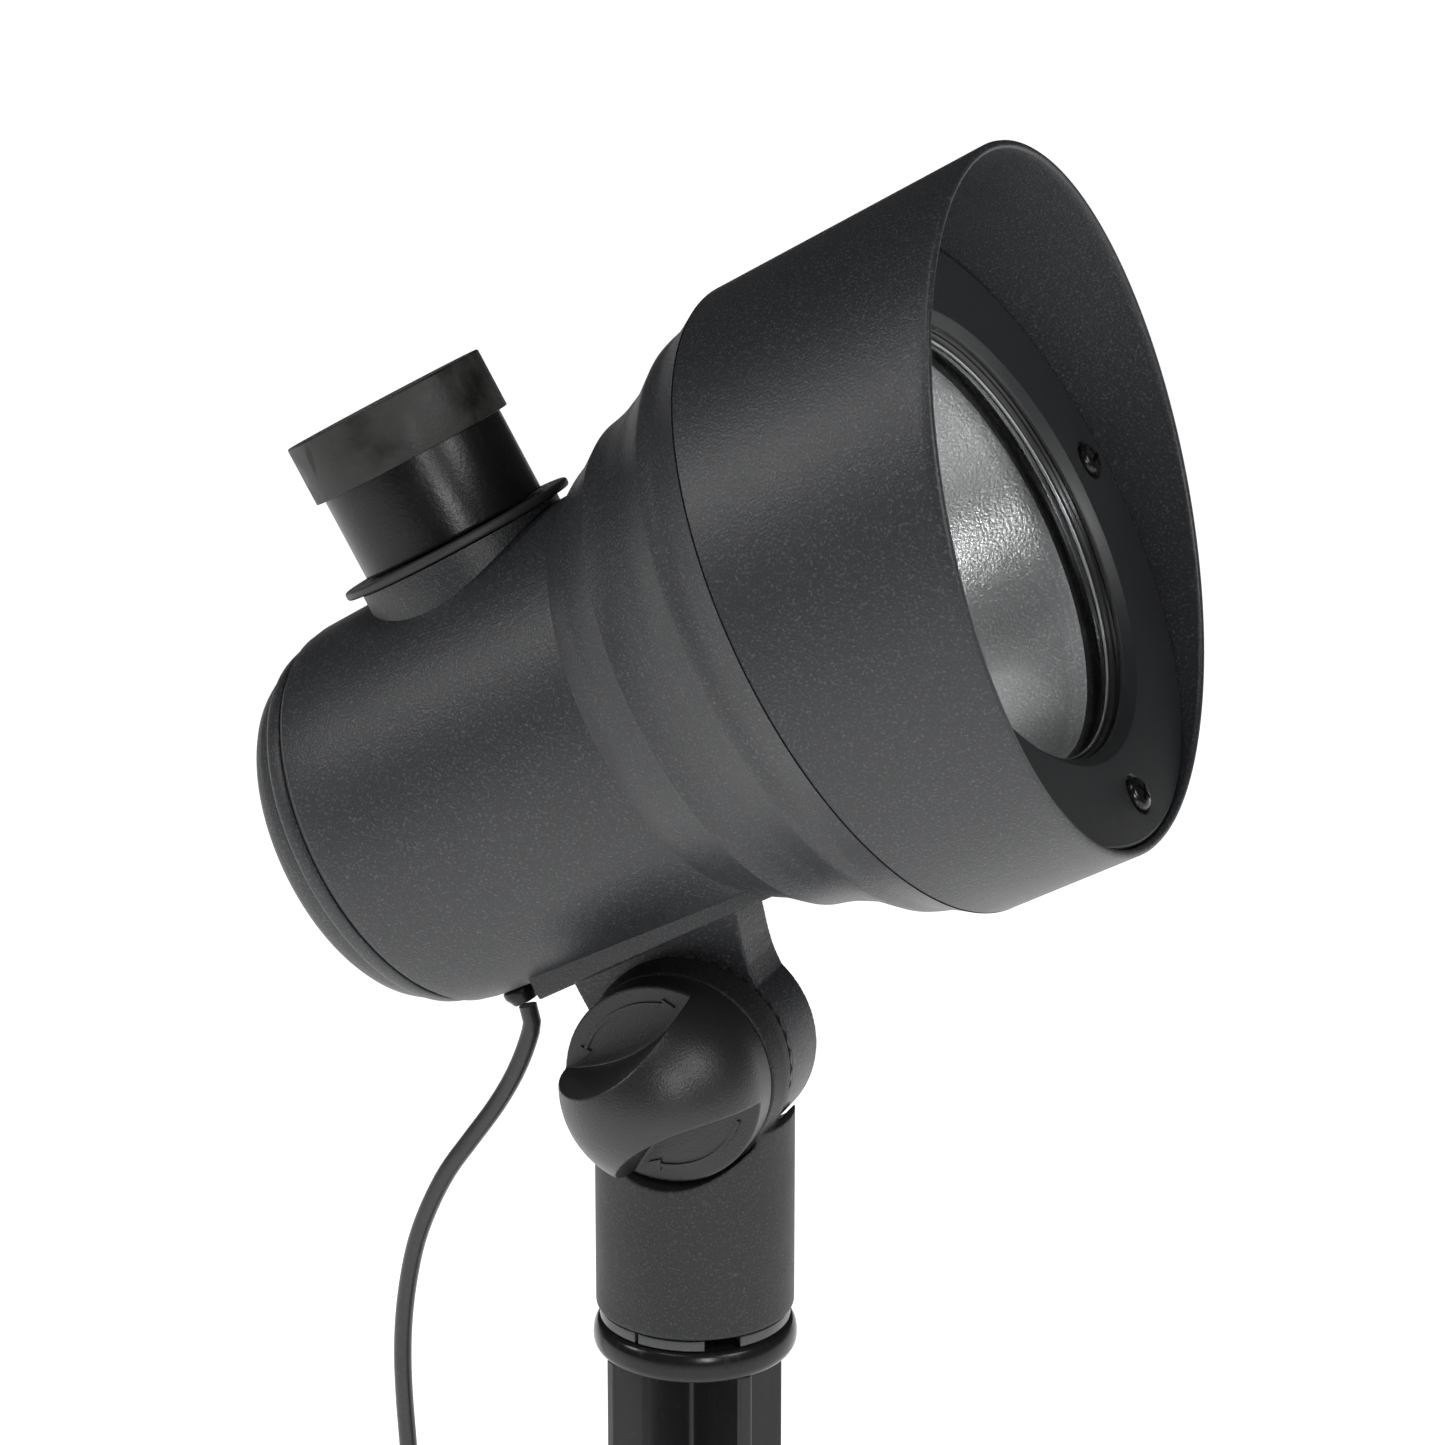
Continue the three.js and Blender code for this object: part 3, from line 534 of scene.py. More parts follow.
def eased(t):
    t = min(max(t, 0), 1)
    return t * t * (3 - 2 * t)


def coil_point(angle):
    """A point of the coil's centreline: three layers of turns that touch."""
    start = hypot(-39.6 - COIL_CENTRE[0], 3.6 - COIL_CENTRE[1])
    radius = start + (15 - start) * eased((angle - COIL_ENTRY) / 64)
    layer = 0.0
    previous = (15, 0)
    for end, new_radius, new_layer in COIL_MOVES:
        share = eased((angle - end + 30) / 30)
        radius += (new_radius - previous[0]) * share
        layer += (new_layer - previous[1]) * share
        previous = (new_radius, new_layer)
    height = COIL_FLOOR + CORD_DIAMETER * (0.5 + layer)
    return Vector((COIL_CENTRE[0] + radius * cos(radians(angle)),
                   COIL_CENTRE[1] + radius * sin(radians(angle)), height))


def smooth_line(points, step):
    """Points a step apart on the centripetal Catmull-Rom curve through the given ones."""
    points = [Vector(p) for p in points]
    points = [2 * points[0] - points[1], *points, 2 * points[-1] - points[-2]]
    line = []
    for p0, p1, p2, p3 in zip(points, points[1:], points[2:], points[3:]):
        k1 = sqrt((p1 - p0).length)
        k2 = k1 + sqrt((p2 - p1).length)
        k3 = k2 + sqrt((p3 - p2).length)
        count = max(1, round((p2 - p1).length / step))
        for i in range(count):
            t = k1 + (k2 - k1) * i / count
            a1 = p0.lerp(p1, t / k1)
            a2 = p1.lerp(p2, (t - k1) / (k2 - k1))
            a3 = p2.lerp(p3, (t - k2) / (k3 - k2))
            b1 = a1.lerp(a2, t / k2)
            b2 = a2.lerp(a3, (t - k1) / (k3 - k1))
            line.append(b1.lerp(b2, (t - k1) / (k2 - k1)))
    line.append(points[-2])
    return line


def tube_along(name, line, radius, sides=14):
    """A closed tube whose sections don't twist."""
    form = bmesh.new()
    sections = []
    across = Vector((0, 1, 0))
    for i, point in enumerate(line):
        ahead = (line[min(i + 1, len(line) - 1)] - line[max(i - 1, 0)]).normalized()
        across = (across - across.dot(ahead) * ahead).normalized()
        other = ahead.cross(across)
        sections.append([
            form.verts.new(point + radius * (cos(2 * pi * k / sides) * across
                                             + sin(2 * pi * k / sides) * other))
            for k in range(sides)])
    for low, high in zip(sections, sections[1:]):
        for k in range(sides):
            j = (k + 1) % sides
            form.faces.new((low[k], low[j], high[j], high[k]))
    form.faces.new(sections[0][::-1])
    form.faces.new(sections[-1])
    return piece_from(name, form)


def supply_lead():
    line = smooth_line(HANGING_ROUTE, 2.0)
    angle = COIL_ENTRY + 6
    while angle < COIL_EXIT:
        line.append(coil_point(angle))
        angle += 6
    last = coil_point(COIL_EXIT)
    line.append(last)
    ending = COIL_CENTRE[0] + CONNECTOR_START - 0.3
    for i in range(1, 5):
        line.append(Vector((last.x + (ending - last.x) * i / 4, last.y, last.z)))
    lead = tube_along("supply_lead", line, CORD_DIAMETER / 2)
    lead.data.materials.append(CORD_SHEATH)
    length = sum((b - a).length for a, b in zip(line, line[1:])) * MM
    return lead, [tuple(p * MM) for p in line], length


lead, lead_path, lead_length = supply_lead()

# ---- Connector, tie and gland ------------------------------------------------------------------

CONNECTOR = place_at(
    Vector((COIL_CENTRE[0], COIL_CENTRE[1] - 21, COIL_FLOOR + 7.5)), Vector((0, 0, 1)),
    Vector((1, 0, 0)))


def connector_body():
    body = turned("low_voltage_plug", [
        (0, CONNECTOR_START), (2.3, CONNECTOR_START), (2.6, 14.5), (4.3, 15.6), (4.7, 16.6),
        (4.7, 26), (5.4, 26.4), (5.5, 31.8), (4.4, 32.8), (4.4, 35), (0, 35),
    ], CONNECTOR, ease=0.35, around=48)
    pins = [pillar("pin_hole", 0.9, 31, 36, CONNECTOR, 24, at) for at in ((0, 1.7), (0, -1.7))]
    return carved(body, *pins)


def connector_nut():
    form = bmesh.new()
    profile = rounded([(5.2, 16.9), (6.9, 16.9), (7.2, 17.6), (7.2, 25), (6.9, 25.7),
                       (5.2, 25.7)], 0.3, closed=True)
    around = 96
    rings = []
    for radius, height in profile:
        ring = []
        for i in range(around):
            flute = 0.22 * (1 + cos(24 * 2 * pi * i / around)) if radius > 6.5 else 0
            r = radius - flute
            ring.append(form.verts.new(
                (r * cos(2 * pi * i / around), r * sin(2 * pi * i / around), height)))
        rings.append(ring)
    for low, high in zip(rings, rings[1:] + rings[:1]):
        for i in range(around):
            j = (i + 1) % around
            form.faces.new((low[i], low[j], high[j], high[i]))
    return piece_from("plug_union_nut", form, CONNECTOR)


def coil_tie():
    """A flat strap round the coil."""
    reach = 0.8
    left, right = COIL_CENTRE[0] - 22.5 - reach, COIL_CENTRE[0] - 13.5 + reach
    low, high = COIL_FLOOR - reach, COIL_FLOOR + 9 + reach
    corner = 1.6
    loop = []
    for x, z, start in ((right - corner, high - corner, 0), (left + corner, high - corner, 90),
                        (left + corner, low + corner, 180), (right - corner, low + corner, 270)):
        loop += arc(corner, start, start + 90, 6, (x, z))
    form = bmesh.new()
    middle = Vector(((left + right) / 2, (low + high) / 2))
    sections = []
    for x, z in loop:
        outward = (Vector((x, z)) - middle).normalized() * 0.45
        sections.append([
            form.verts.new((x + k * outward.x, COIL_CENTRE[1] + y, z + k * outward.y))
            for k, y in ((-1, -2), (1, -2), (1, 2), (-1, 2))])
    for here, after in zip(sections, sections[1:] + sections[:1]):
        for k in range(4):
            j = (k + 1) % 4
            form.faces.new((here[k], here[j], after[j], after[k]))
    return piece_from("coil_tie_strap", form)


plug = finished(connector_body(), "post", TURRET_PLASTIC, "satin_plastic", "connector_body")
plug_nut = finished(connector_nut(), "post", KNOB_PLASTIC, "satin_plastic", "connector_nut")
tie = finished(coil_tie(), "post", STAKE_PLASTIC, "gloss_plastic", "cord_tie")
gland = finished(turned("lead_gland", [
    (0, 29.5), (2, 29.5), (2, 32.2), (2.9, 32.6), (2.9, 33.6), (2.3, 34.6), (2.05, 35.2),
    (0, 35.2),
], GLAND, ease=0.3, around=48), "head", TURRET_PLASTIC, "gloss_plastic", "cord_gland")

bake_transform(lead)
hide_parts("supply_cord", "cord_coil")

# ---- Lamp head -------------------------------------------------------------------------------

HOOD_SEAM = 65.5
BEZEL_FRONT = 88.4
RIM_CENTRE = 101.5
RIM_SLANT = radians(13.75)
SCREW_CIRCLE = 44.5
SCREW_SEAT = 87.6
HOOD_TAPER = 0.0169
PAD_DROP = 34.4
# The swells of the neck, from the barrel to the seam with the hood, as (radius, place).
NECK_STEPS = [
    [(34.1, 24.3), (34.3, 29)],
    [(34.3, 29), (35.5, 30.8), (36.9, 33), (38.3, 36), (41.1, 40.5)],
    [(41.1, 40.5), (41.4, 42), (42.2, 45), (43.4, 48), (44.8, 51), (48.3, 56.2)],
    [(48.3, 56.2), (48.7, 57.4), (49.4, 60), (50.8, 63), (52.05, 65.3)],
]


def lamp_housing():
    """The casting: barrel, stepped neck, turret boss and the pad that the bracket bolts to."""
    profile = [(0, -26), (31.2, -26), (32.1, -24.9), (32.5, -22.5), (32.8, -14.5)]
    for step in NECK_STEPS:
        swell = smooth_line([(radius, 0, place) for radius, place in step], 0.7)
        profile += [(point.x, point.z) for point in swell[:-1]]
    profile += [(52.05, 65.3), (48.2, 65.3), (48.2, 85.6), (41, 85.6), (41, 79), (39.5, 62),
                (30, 44), (20, 36), (0, 36)]
    body = turned("housing_casting", profile, LAMP, ease=0, around=256)
    boss = pillar("boss", 17.2, 20, 34.8, TURRET, 128)
    foot = extruded("foot", rounded([(-34.4, -12), (-24, -12), (-24, 12), (-34.4, 12)],
                                    0.8, closed=True, steps=5), -13.4, 33, LAMP)
    body = carved(body, boss, foot, operation="UNION")
    body.data.set_sharp_from_angle(angle=NECK_SHARP_ANGLE)
    return body


def rear_cap():
    return turned("rear_cover", [
        (0, -24), (29, -24), (29, -26.3), (31.3, -26.3), (31.2, -27.6), (30.8, -28.9),
        (30.3, -29.5), (29.7, -29.6), (29.7, -30), (29.2, -31.6), (28.3, -33.2), (27, -34.4),
        (25.8, -34.8), (25.2, -34.7), (25, -35.2), (24, -35.8), (18, -36.2), (9, -36.5),
        (0, -36.6),
    ], LAMP, ease=0.5, around=192)


def hood_radius(place):
    return 52 + HOOD_TAPER * (place - 63)


def rim_place(radius, angle):
    return RIM_CENTRE + radius * cos(angle) * tan(RIM_SLANT)


def glare_hood():
    """A thin tapered tube with a slanted, rounded mouth."""
    wall, lip, around, rows = 1.35, 0.5, 256, 24
    form = bmesh.new()
    columns = []
    for i in range(around):
        angle = 2 * pi * i / around
        rim = rim_place(hood_radius(RIM_CENTRE), angle)
        profile = [(hood_radius(HOOD_SEAM) - 1.3, HOOD_SEAM - 0.12)]
        profile += [(hood_radius(HOOD_SEAM) - 0.22, HOOD_SEAM - 0.12),
                    (hood_radius(HOOD_SEAM), HOOD_SEAM + 0.12)]
        for k in range(1, rows + 1):
            place = HOOD_SEAM + 0.6 + (rim - lip - HOOD_SEAM - 0.6) * k / rows
            profile.append((hood_radius(place), place))
        outer = hood_radius(rim)
        profile += [(outer - 0.12, rim - 0.2), (outer - 0.4, rim), (outer - wall + 0.35, rim),
                    (outer - wall + 0.08, rim - 0.2)]
        for k in range(rows + 1):
            place = rim - lip - (rim - lip - 85.9) * k / rows
            profile.append((hood_radius(place) - wall, place))
        profile.append((hood_radius(85.9) - wall, 80))
        profile.append((hood_radius(HOOD_SEAM) - wall - 0.6, HOOD_SEAM + 0.6))
        columns.append([
            form.verts.new((r * cos(angle), r * sin(angle), place)) for r, place in profile])
    for here, after in zip(columns, columns[1:] + columns[:1]):
        for k in range(len(here)):
            j = (k + 1) % len(here)
            form.faces.new((here[k], after[k], after[j], here[j]))
    return piece_from("hood_tube", form, LAMP)


SCREW_SPOTS = [(SCREW_CIRCLE * cos(a), SCREW_CIRCLE * sin(a))
               for a in (0, pi / 2, pi, 3 * pi / 2)]


def bezel_ring():
    plate = turned("bezel_plate", [
        (35.9, 86.3), (50.75, 86.3), (50.75, 88.1), (50.4, BEZEL_FRONT), (37.5, BEZEL_FRONT),
        (36.1, 87.2), (35.9, 86.9),
    ], LAMP, ease=0.15, around=192, closed=True)
    seats = []
    for x, y in SCREW_SPOTS:
        form = turned_form([
            (0, SCREW_SEAT), (3.1, SCREW_SEAT), (3.1, 88.1), (3.5, 88.6), (3.5, 90), (0, 90)], 48)
        form.transform(Matrix.Translation((x, y, 0)))
        seats.append(piece_from("seat", form, LAMP))
    return carved(plate, *seats)


def bezel_screw(name, x, y, turn):
    """A pan head with a cross recess, on its shank."""
    form = turned_form(rounded([
        (0, 80.5), (1.25, 80.5), (1.25, 87.9), (2.75, 87.9), (2.75, 88.7), (2.35, 89.35),
        (1.3, 89.65), (0, 89.7)], 0.3), 48)
    form.transform(Matrix.Translation((x, y, 0)))
    screw = piece_from(name, form, LAMP)
    spot = LAMP @ Matrix.Translation((x, y, 0)) @ Matrix.Rotation(turn, 4, "Z")
    cross = [(1.6, 0.34), (0.34, 0.34), (0.34, 1.6), (-0.34, 1.6), (-0.34, 0.34), (-1.6, 0.34),
             (-1.6, -0.34), (-0.34, -0.34), (-0.34, -1.6), (0.34, -1.6), (0.34, -0.34),
             (1.6, -0.34)]
    return carved(screw, extruded("recess", cross, 88.5, 92, spot))


def reflector():
    throat, mouth, low, high = 9.2, 34.9, 36, 80.3
    inside = []
    for i in range(33):
        radius = throat + (mouth - throat) * i / 32
        share = (radius ** 2 - throat ** 2) / (mouth ** 2 - throat ** 2)
        inside.append((radius, low + (high - low) * share))
    outside = [(r + 0.8, z - 0.4) for r, z in inside[:-1]][::-1]
    return turned("reflector_bowl", [
        *inside, (35, 80.9), (39.3, 80.9), (39.3, 79.8), (35.9, 79.8), *outside,
    ], LAMP, ease=0, around=192, closed=True)


def lens():
    return turned("lens_disc", [(0, 81.3), (39.2, 81.3), (39.2, 84.3), (0, 84.3)],
                  LAMP, ease=0.4, around=160)


def lens_gasket():
    return turned("lens_seal", [
        (35.35, 84.6), (39.4, 84.6), (39.4, 86), (36.6, 86), (36.4, 85.5), (36.1, 85.3),
        (35.8, 85.6), (35.5, 85.1)], LAMP, ease=0.15, around=160, closed=True)


def highlight_edge_ring():
    """Painted highlight: a thin bright metal ring between lens and gasket, standing in for a
    highlight line.
    """
    return turned("lens_edge_highlight_ring", [
        (34.95, 84.35), (35.25, 84.35), (35.25, 84.85), (34.95, 84.85)],
        LAMP, ease=0.1, around=160, closed=True)


finished(lamp_housing(), "head", POWDER_COAT, "powder_coat", "lamp_housing")
finished(rear_cap(), "head", POWDER_COAT, "powder_coat", "rear_cap")
finished(glare_hood(), "head", HOOD_COAT, "powder_coat", "glare_hood")
finished(bezel_ring(), "head", BEZEL_COAT, "powder_coat", "bezel_ring")
for number, ((x, y), turn) in enumerate(zip(SCREW_SPOTS, (0.35, 1.0, 0.6, 0.15)), 1):
    finished(bezel_screw(f"bezel_pan_screw_{number}", x, y, turn), "head", BLACK_STEEL,
             "black_steel", f"bezel_screw_{number}")
finished(reflector(), "head", REFLECTOR_METAL, "mirror_finish", "reflector")
finished(lens(), "head", LENS_GLASS, "clear_glass", "lens_glass")
finished(lens_gasket(), "head", GASKET_RUBBER, "rubber", "lens_gasket")
# painted highlight: this bright aluminium ring stands in for the highlight line at the lens
# opening's edge
finished(highlight_edge_ring(), "head", ALUMINIUM, "aluminium")

# ---- Turret ----------------------------------------------------------------------------------


def sensor_cap():
    cap = turned("turret_cap", [
        (15.75, 50.7), (16.8, 50.7), (16.8, 60.3), (16.6, 60.5), (0, 60.5), (0, 59),
        (15.2, 59), (15.6, 58.4), (15.75, 57),
    ], TURRET, ease=0.12, around=160)
    return cap


def turret_barrel():
    return turned("turret_barrel", [
        (6.3, 24), (8.9, 24), (8.9, 36.85), (15.3, 36.85), (15.4, 37.2), (15.4, 58.3),
        (15.1, 58.6), (13.8, 58.6), (13.7, 58.2), (13.7, 53.7), (12.4, 53.7), (12.4, 39.2),
        (6.3, 39.2),
    ], TURRET, ease=0.25, around=160, closed=True)


def turret_flange():
    return turned("turret_flange", [
        (9.4, 35.15), (19.3, 35.15), (19.55, 35.4), (19.6, 36.2), (19.3, 36.5), (16.6, 36.5),
        (16.2, 36.35), (15.8, 36.5), (9.4, 36.5),
    ], TURRET, ease=0.2, around=160, closed=True)


finished(sensor_cap(), "cap", CAP_RUBBER, "rubber", "sensor_cap")
finished(turret_barrel(), "head", TURRET_PLASTIC, "satin_plastic", "sensor_housing")
finished(turret_flange(), "head", FLANGE_RUBBER, "rubber", "sensor_flange")

# ---- Knuckle ---------------------------------------------------------------------------------

TOOTH_COUNT = 36
TOOTH_HEIGHT = 0.75
TOOTH_GAP = 0.15
TOOTH_PLANE = -1
ARM = Matrix.Translation(HINGE) @ Matrix.Rotation(-LAMP_TILT, 4, "Y") @ Matrix.Rotation(
    radians(90), 4, "X")


def crown_of_teeth(name, place, base, root):
    """A ring of radial teeth whose tips reach up to the height root + TOOTH_HEIGHT."""
    per_tooth = 8
    around = TOOTH_COUNT * per_tooth
    form = bmesh.new()
    bottoms, tops = [], []
    for i in range(around):
        angle = 2 * pi * i / around
        share = 1 - abs((i % per_tooth) / per_tooth * 2 - 1)
        share = min(max((share - 0.12) / 0.76, 0), 1)
        bottoms.append([form.verts.new((r * cos(angle), r * sin(angle), base))
                        for r in (9.6, 16.55)])
        tops.append([form.verts.new((r * cos(angle), r * sin(angle), root + rise * share))
                     for r, rise in ((9.6, 0.6 * TOOTH_HEIGHT), (16.55, TOOTH_HEIGHT))])
    for i in range(around):
        j = (i + 1) % around
        form.faces.new((bottoms[i][0], bottoms[j][0], bottoms[j][1], bottoms[i][1]))
        form.faces.new((tops[i][0], tops[i][1], tops[j][1], tops[j][0]))
        form.faces.new((bottoms[i][1], bottoms[j][1], tops[j][1], tops[i][1]))
        form.faces.new((bottoms[i][0], tops[i][0], tops[j][0], bottoms[j][0]))
    ring = piece_from(name, form, place)
    ring.data.set_sharp_from_angle(angle=TOOTH_SHARP_ANGLE)
    return ring


def bracket_arm():
    """The head's ear, its web and the foot, with a hollow curve where web meets ear."""
    top = LAMP_OFFSET - PAD_DROP - 0.3
    outline = [(-13.4, top), (-13.4, 9.8)]
    outline += arc(16.6, degrees(atan2(9.8, -13.4)), 380, 96)
    outline += [(15.7, 7.6), (15.9, 9.4), (16.5, 12), (17.6, 15.6), (18.6, top)]
    face = -(TOOTH_PLANE + TOOTH_GAP + TOOTH_HEIGHT)
    plate = extruded("bracket_casting", outline, -11.25, face, ARM)
    bolt_hole = pillar("hole", 3.4, -20, 20, FAR_SIDE, 48)
    head_seat = extruded("seat", arc(6.25, 0, 300, 5), 6.9, 20, FAR_SIDE)
    return fused(carved(plate, bolt_hole, head_seat), 0.24, 3)


def clamp_bolt():
    """A hexagon head with a turned face, and the shank through both ears."""
    head = extruded("clamp_hex_bolt", arc(5.7, 0, 300, 5), 7.2, 11, FAR_SIDE)
    crown = turned("crown", [(0, 7), (5.3, 7), (5.75, 7.5), (5.75, 10.2), (5, 11), (4.4, 11),
                             (4.1, 10.8), (0, 10.8)], FAR_SIDE, ease=0, around=48)
    head = carved(head, crown, operation="INTERSECT")
    shank = turned("shank", [(0, -24), (2.6, -24), (3, -23.5), (3, 7.6), (0, 7.6)],
                   FAR_SIDE, ease=0.2, around=48)
    return carved(head, shank, operation="UNION")


def post_tube():
    """The tube with two round pockets that leave its near ear standing."""
    tube = turned("knuckle_tube", [
        (13.2, 7.5), (15.6, 7.5), (16, 7.9), (16, 41.4), (13.2, 41.4)],
        STAKE, ease=0, around=160, closed=True)
    plug_block = pillar("web", 14, 29.5, 41.4, STAKE, 96)
    ear_face = TOOTH_PLANE - TOOTH_GAP - TOOTH_HEIGHT
    tube = carved(tube, plug_block, operation="UNION")
    far_pocket = pillar("pocket", 17.1, ear_face, 20, FAR_SIDE, 160)
    near_pocket = pillar("pocket", 17.1, 8, 20, CLAMP, 160)
    tube = carved(tube, far_pocket, near_pocket)
    ear = piece_from("ear", turned_form(
        [(0, -ear_face), (17, -ear_face), (17, 4), (16.4, 8), (0, 8)], 160), CLAMP)
    tube = carved(tube, ear, operation="UNION")
    tube = carved(tube, pillar("hole", 3.4, -20, 20, CLAMP, 48))
    return fused(tube, 0.26, 3)


KNOB_RADIUS = 16.4
KNOB_CENTRE = 13.6
KNOB_FLAT = 14
POCKET_RADIUS = 25.9
POCKET_OFFSET = 32.2
POCKET_ANGLE = 125.3


def clamp_knob():
    """A ball with two lens-shaped finger flats cut into opposite sides."""
    profile = [(0, 10.3), (8.2, 10.3), (8.2, 8.25), (15.9, 8.25), (16.25, 8.6)]
    profile += [(KNOB_RADIUS * cos(radians(a)), KNOB_CENTRE + KNOB_RADIUS * sin(radians(a)))
                for a in range(-2, 90, 4)]
    profile.append((0, KNOB_CENTRE + KNOB_RADIUS))
    ball = turned("knob_ball", profile, CLAMP, ease=0, around=160)
    cutters = []
    for turn in (0, 180):
        x, y = arc(POCKET_OFFSET, POCKET_ANGLE + turn, 0, 1)[0]
        form = turned_form([(0, KNOB_FLAT), (POCKET_RADIUS, KNOB_FLAT),
                            (POCKET_RADIUS + 1.5, 40), (0, 40)], 192)
        form.transform(Matrix.Translation((x, y, 0)))
        cutters.append(piece_from("pocket", form, CLAMP))
    return fused(carved(ball, *cutters), 0.22, 5)


def arrow_mark(name, middle, sweep, heads):
    """A raised arc along the outer edge of a flat, with arrow heads on the named ends."""
    radius, half, low, high = 13.5, 0.26, KNOB_FLAT - 0.12, KNOB_FLAT + 0.4
    start, end = middle - sweep / 2, middle + sweep / 2
    outline = arc(radius + half, start, end, 32) + arc(radius - half, end, start, 32)
    mark = extruded(name, outline, low, high, CLAMP)
    for at, way in ((start, -1), (end, 1)):
        if way not in heads:
            continue
        tip = arc(radius, at + way * 8, 0, 1)[0]
        barbs = [arc(radius + side, at - way, 0, 1)[0] for side in (0.95, -0.95)]
        mark = merged(mark, extruded("head", [tip, *barbs], low, high + 0.03, CLAMP))
    return mark


def clamp_washer():
    return turned("clamp_washer_ring", [(3.4, 8.3), (7.8, 8.3), (7.8, 9.9), (3.4, 9.9)],
                  CLAMP, ease=0.2, around=64, closed=True)


finished(bracket_arm(), "head", ARM_COAT, "powder_coat", "bracket_arm")
finished(crown_of_teeth("bracket_teeth", FAR_SIDE @ Matrix.Rotation(pi, 4, "X"), -1.2,
                        -(TOOTH_PLANE + TOOTH_GAP) - TOOTH_HEIGHT), "head", ARM_COAT,
         "powder_coat")
finished(clamp_bolt(), "head", ZINC_STEEL, "zinc_steel", "clamp_bolt")
finished(post_tube(), "post", TUBE_PLASTIC, "textured_plastic", "post_tube")
finished(crown_of_teeth("tube_teeth", FAR_SIDE, TOOTH_PLANE - TOOTH_GAP - TOOTH_HEIGHT - 0.8,
                        TOOTH_PLANE - TOOTH_GAP - TOOTH_HEIGHT), "post", TUBE_PLASTIC,
         "textured_plastic")
finished(clamp_knob(), "knob", KNOB_PLASTIC, "satin_plastic", "clamp_knob")
finished(arrow_mark("knob_arc_upper", POCKET_ANGLE, 74, (-1, 1)), "knob", KNOB_PLASTIC,
         "satin_plastic")
finished(arrow_mark("knob_arc_lower", POCKET_ANGLE + 180, 74, (-1,)), "knob", KNOB_PLASTIC,
         "satin_plastic")
finished(clamp_washer(), "clamp_plate", ZINC_STEEL, "zinc_steel", "clamp_washer")

# ---- Stake -----------------------------------------------------------------------------------


SPIKE_RADIUS = 15.9
RIB_TURN = 52


def stake_collar():
    return turned("stake_collar", [
        (0, 0), (15.2, 0), (16, 0.35), (16.45, 1.3), (16.5, 2.6), (16.3, 3.8), (15.8, 4.8),
        (15.2, 5.2), (11, 5.2), (11, 26.2), (10, 27), (0, 27),
    ], STAKE, ease=0.5, around=160)


def stake_spike():
    """Two crossed ribs that taper to a point."""
    reach = SPIKE_RADIUS
    outline = [(-1.2, -190), (1.2, -190), (reach, -70), (reach, 0.6), (-reach, 0.6), (-reach, -70)]
    ribs = []
    for turn in (RIB_TURN, RIB_TURN + 90):
        upright = Matrix.Rotation(radians(turn), 4, "Z") @ Matrix.Rotation(radians(90), 4, "X")
        ribs.append(extruded("spike_ribs", outline, -1.25, 1.25, upright))
    return fused(merged(*ribs), 0.36, 3)


def split_bush():
    """The split bearing band that shows between the tube and the collar."""
    band = turned("split_band", [
        (11.3, 5.5), (15.4, 5.5), (15.4, 7.2), (12.9, 7.25), (12.9, 28.4), (11.3, 28.4)],
        STAKE, ease=0.15, around=160, closed=True)
    split = block("split", (0, -0.35, 0), (20, 0.35, 30),
                  Matrix.Rotation(radians(-106), 4, "Z"))
    window = block("window", (11.2, -3, 0), (20, 3, 7.35), Matrix.Rotation(radians(-52), 4, "Z"))
    return carved(band, split, window)


finished(stake_collar(), "stake", STAKE_PLASTIC, "gloss_plastic", "stake")
finished(stake_spike(), "stake", STAKE_PLASTIC, "gloss_plastic")
finished(split_bush(), "stake", BUSH_PLASTIC, "grey_plastic", "split_bush")

# ---- Materials of the CAD pieces that stay ----------------------------------------------------

INNER_FINISHES = {
    "rear_cap_seal": GASKET_RUBBER, "heat_sink": ALUMINIUM, "led_board": WHITE_BOARD,
    "led_emitter": PHOSPHOR, "led_board_screw_1": ZINC_STEEL, "led_board_screw_2": ZINC_STEEL,
    "driver_board": CIRCUIT_BOARD, "driver_choke": FERRITE, "driver_capacitor": ALUMINIUM,
    "arm_screw_1": ZINC_STEEL, "arm_screw_2": ZINC_STEEL, "sensor_nut": KNOB_PLASTIC,
    "sensor_board": CIRCUIT_BOARD, "photocell": CLEAR_GLASS, "knob_insert": BRASS,
}
for node_name, inner_finish in INNER_FINISHES.items():
    node_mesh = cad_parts[node_name].data
    node_mesh.materials.clear()
    node_mesh.materials.append(inner_finish)

# ---- Studio ----------------------------------------------------------------------------------


FLOOR_HEIGHT = -190.3
FLOOR_REACH = 3000
FLOOR_GLOW = 0.98
WALL_DIM_DIRECTION = -0.75
WALL_BRIGHT_DIRECTION = 0.35
WALL_DIM = 0.16
WALL_BRIGHT = 0.85
CEILING_SHARE = 0.3
LAMP_MIDDLE = Vector((0, 0, 0.09))


def add_floor():
    """A wide pale floor under the tip of the stake."""
    form = bmesh.new()
    reach = FLOOR_REACH
    corners = [form.verts.new((x, y, 0)) for x, y in
               ((-reach, -reach), (reach, -reach), (reach, reach), (-reach, reach))]
    form.faces.new(corners)
    floor = piece_from("studio_floor", form, Matrix.Translation((0, 0, FLOOR_HEIGHT)))
    pale = bpy.data.materials.new("pale floor")
    pale.use_nodes = True
    shader = pale.node_tree.nodes["Principled BSDF"]
    shader.inputs["Base Color"].default_value = (0.92, 0.92, 0.92, 1)
    shader.inputs["Roughness"].default_value = 0.9
    shader.inputs["Emission Color"].default_value = (1, 1, 1, 1)
    shader.inputs["Emission Strength"].default_value = FLOOR_GLOW
    floor.data.materials.append(pale)


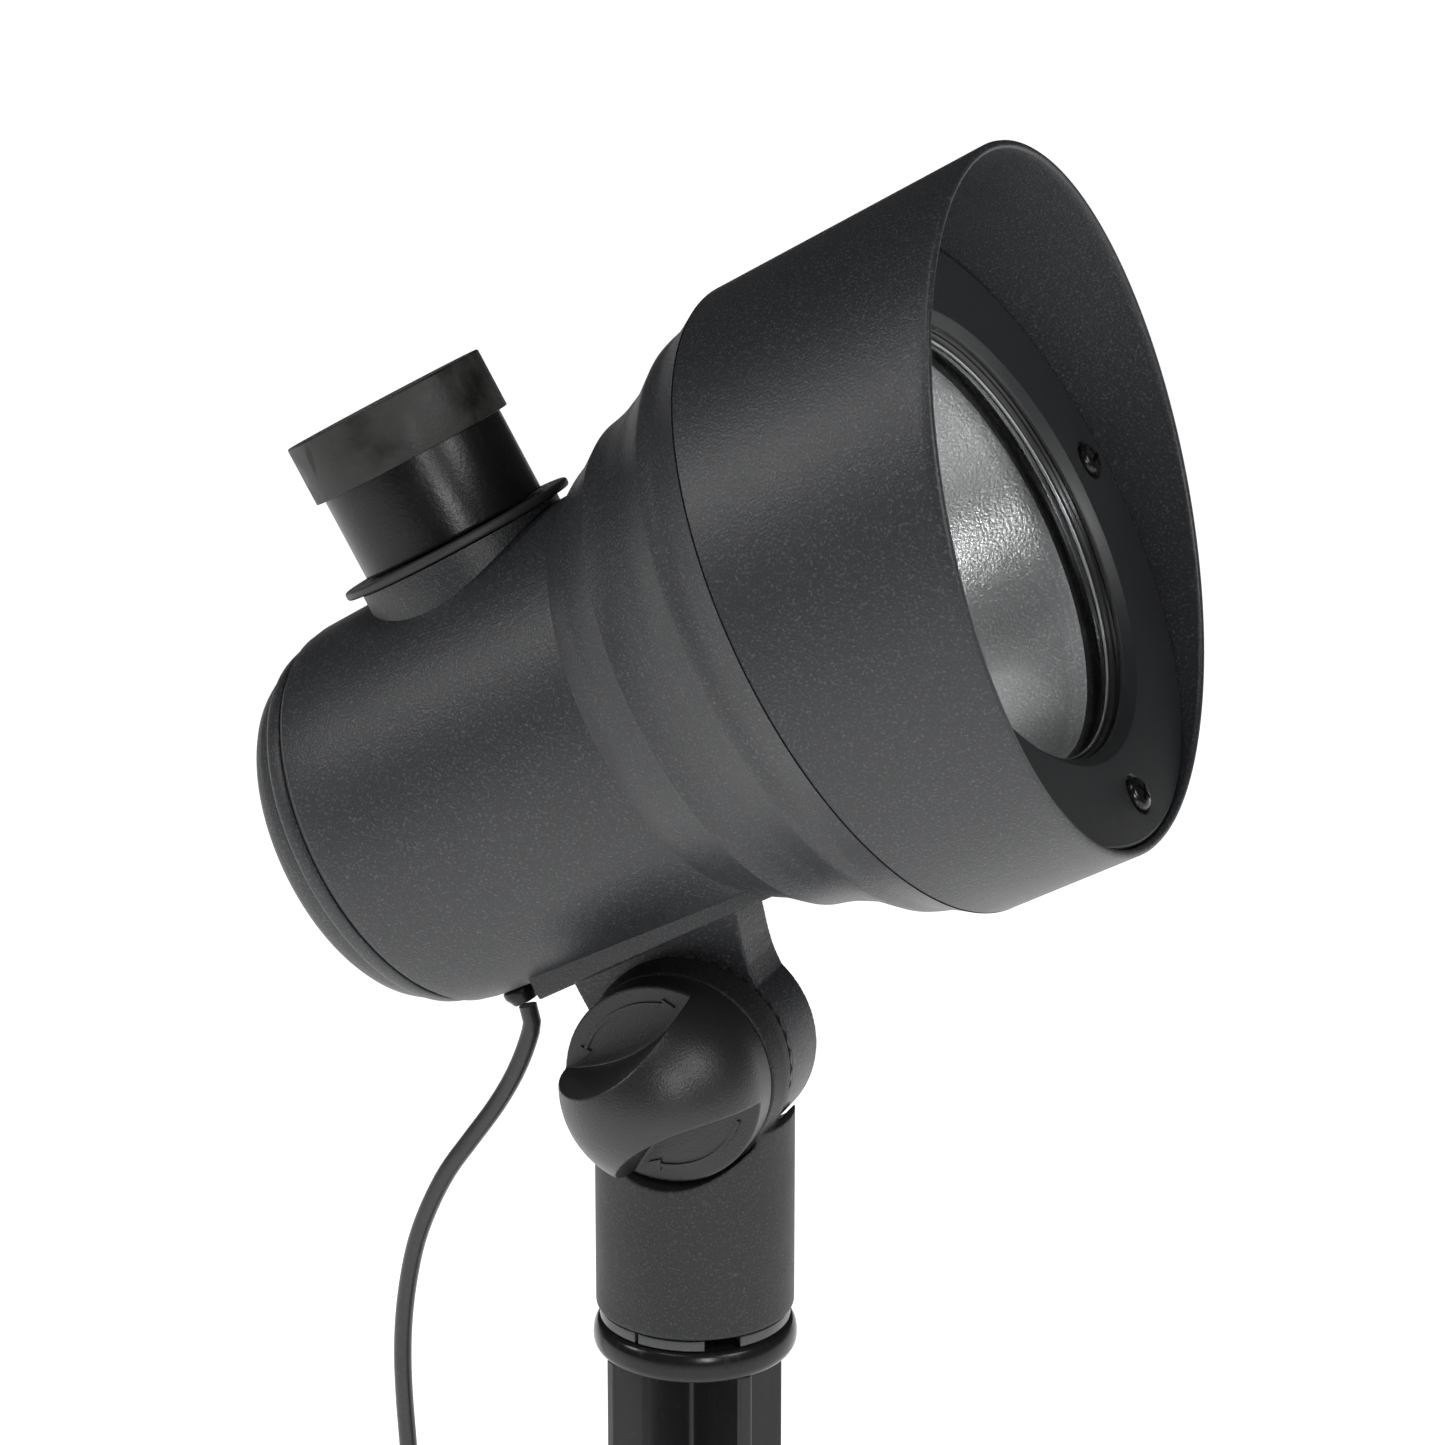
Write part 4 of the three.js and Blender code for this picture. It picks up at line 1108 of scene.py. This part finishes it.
def add_softbox(name, place, target, size, power):
    light = bpy.data.lights.new(name, "AREA")
    light.shape = "RECTANGLE"
    light.size, light.size_y = size
    light.energy = power
    box = bpy.data.objects.new(name, light)
    box.location = place
    box.rotation_euler = (Vector(target) - Vector(place)).to_track_quat("-Z", "Y").to_euler()
    scene.collection.objects.link(box)


def add_world():
    """Pale studio walls: bright behind the lamp and at its sides, dim in front and above."""
    world = bpy.data.worlds.new("studio_air")
    world.use_nodes = True
    tree = world.node_tree
    background = tree.nodes["Background"]
    way = tree.nodes.new("ShaderNodeSeparateXYZ")
    tree.links.new(tree.nodes.new("ShaderNodeTexCoord").outputs["Generated"], way.inputs[0])
    depth = tree.nodes.new("ShaderNodeMapRange")
    depth.interpolation_type = "SMOOTHSTEP"
    depth.inputs["From Min"].default_value = WALL_DIM_DIRECTION
    depth.inputs["From Max"].default_value = WALL_BRIGHT_DIRECTION
    depth.inputs["To Min"].default_value = WALL_DIM
    depth.inputs["To Max"].default_value = WALL_BRIGHT
    tree.links.new(way.outputs["Y"], depth.inputs["Value"])
    height = tree.nodes.new("ShaderNodeMapRange")
    height.interpolation_type = "SMOOTHSTEP"
    height.inputs["From Min"].default_value = 0.1
    height.inputs["From Max"].default_value = 0.8
    height.inputs["To Min"].default_value = 1.0
    height.inputs["To Max"].default_value = CEILING_SHARE
    tree.links.new(way.outputs["Z"], height.inputs["Value"])
    strength = math_node(tree, "MULTIPLY", depth.outputs["Result"], height.outputs["Result"])
    tree.links.new(strength, background.inputs["Strength"])
    scene.world = world


add_floor()
add_world()
add_softbox("right_softbox", LAMP_MIDDLE + 1.1 * Vector((0.76, -0.27, 0.60)), LAMP_MIDDLE,
            (0.36, 0.36), 4.5)
add_softbox("left_softbox", LAMP_MIDDLE + 1.1 * Vector((-0.74, -0.44, 0.48)), LAMP_MIDDLE,
            (0.3, 0.4), 3.4)
add_softbox("front_softbox", LAMP_MIDDLE + Vector((0.53, -0.76, 0.38)), LAMP_MIDDLE,
            (0.18, 0.18), 2.6)
add_softbox("top_softbox", LAMP_MIDDLE + 1.1 * Vector((-0.15, -0.3, 0.94)), LAMP_MIDDLE,
            (0.4, 0.4), 2.6)
scene.view_settings.view_transform = "Standard"
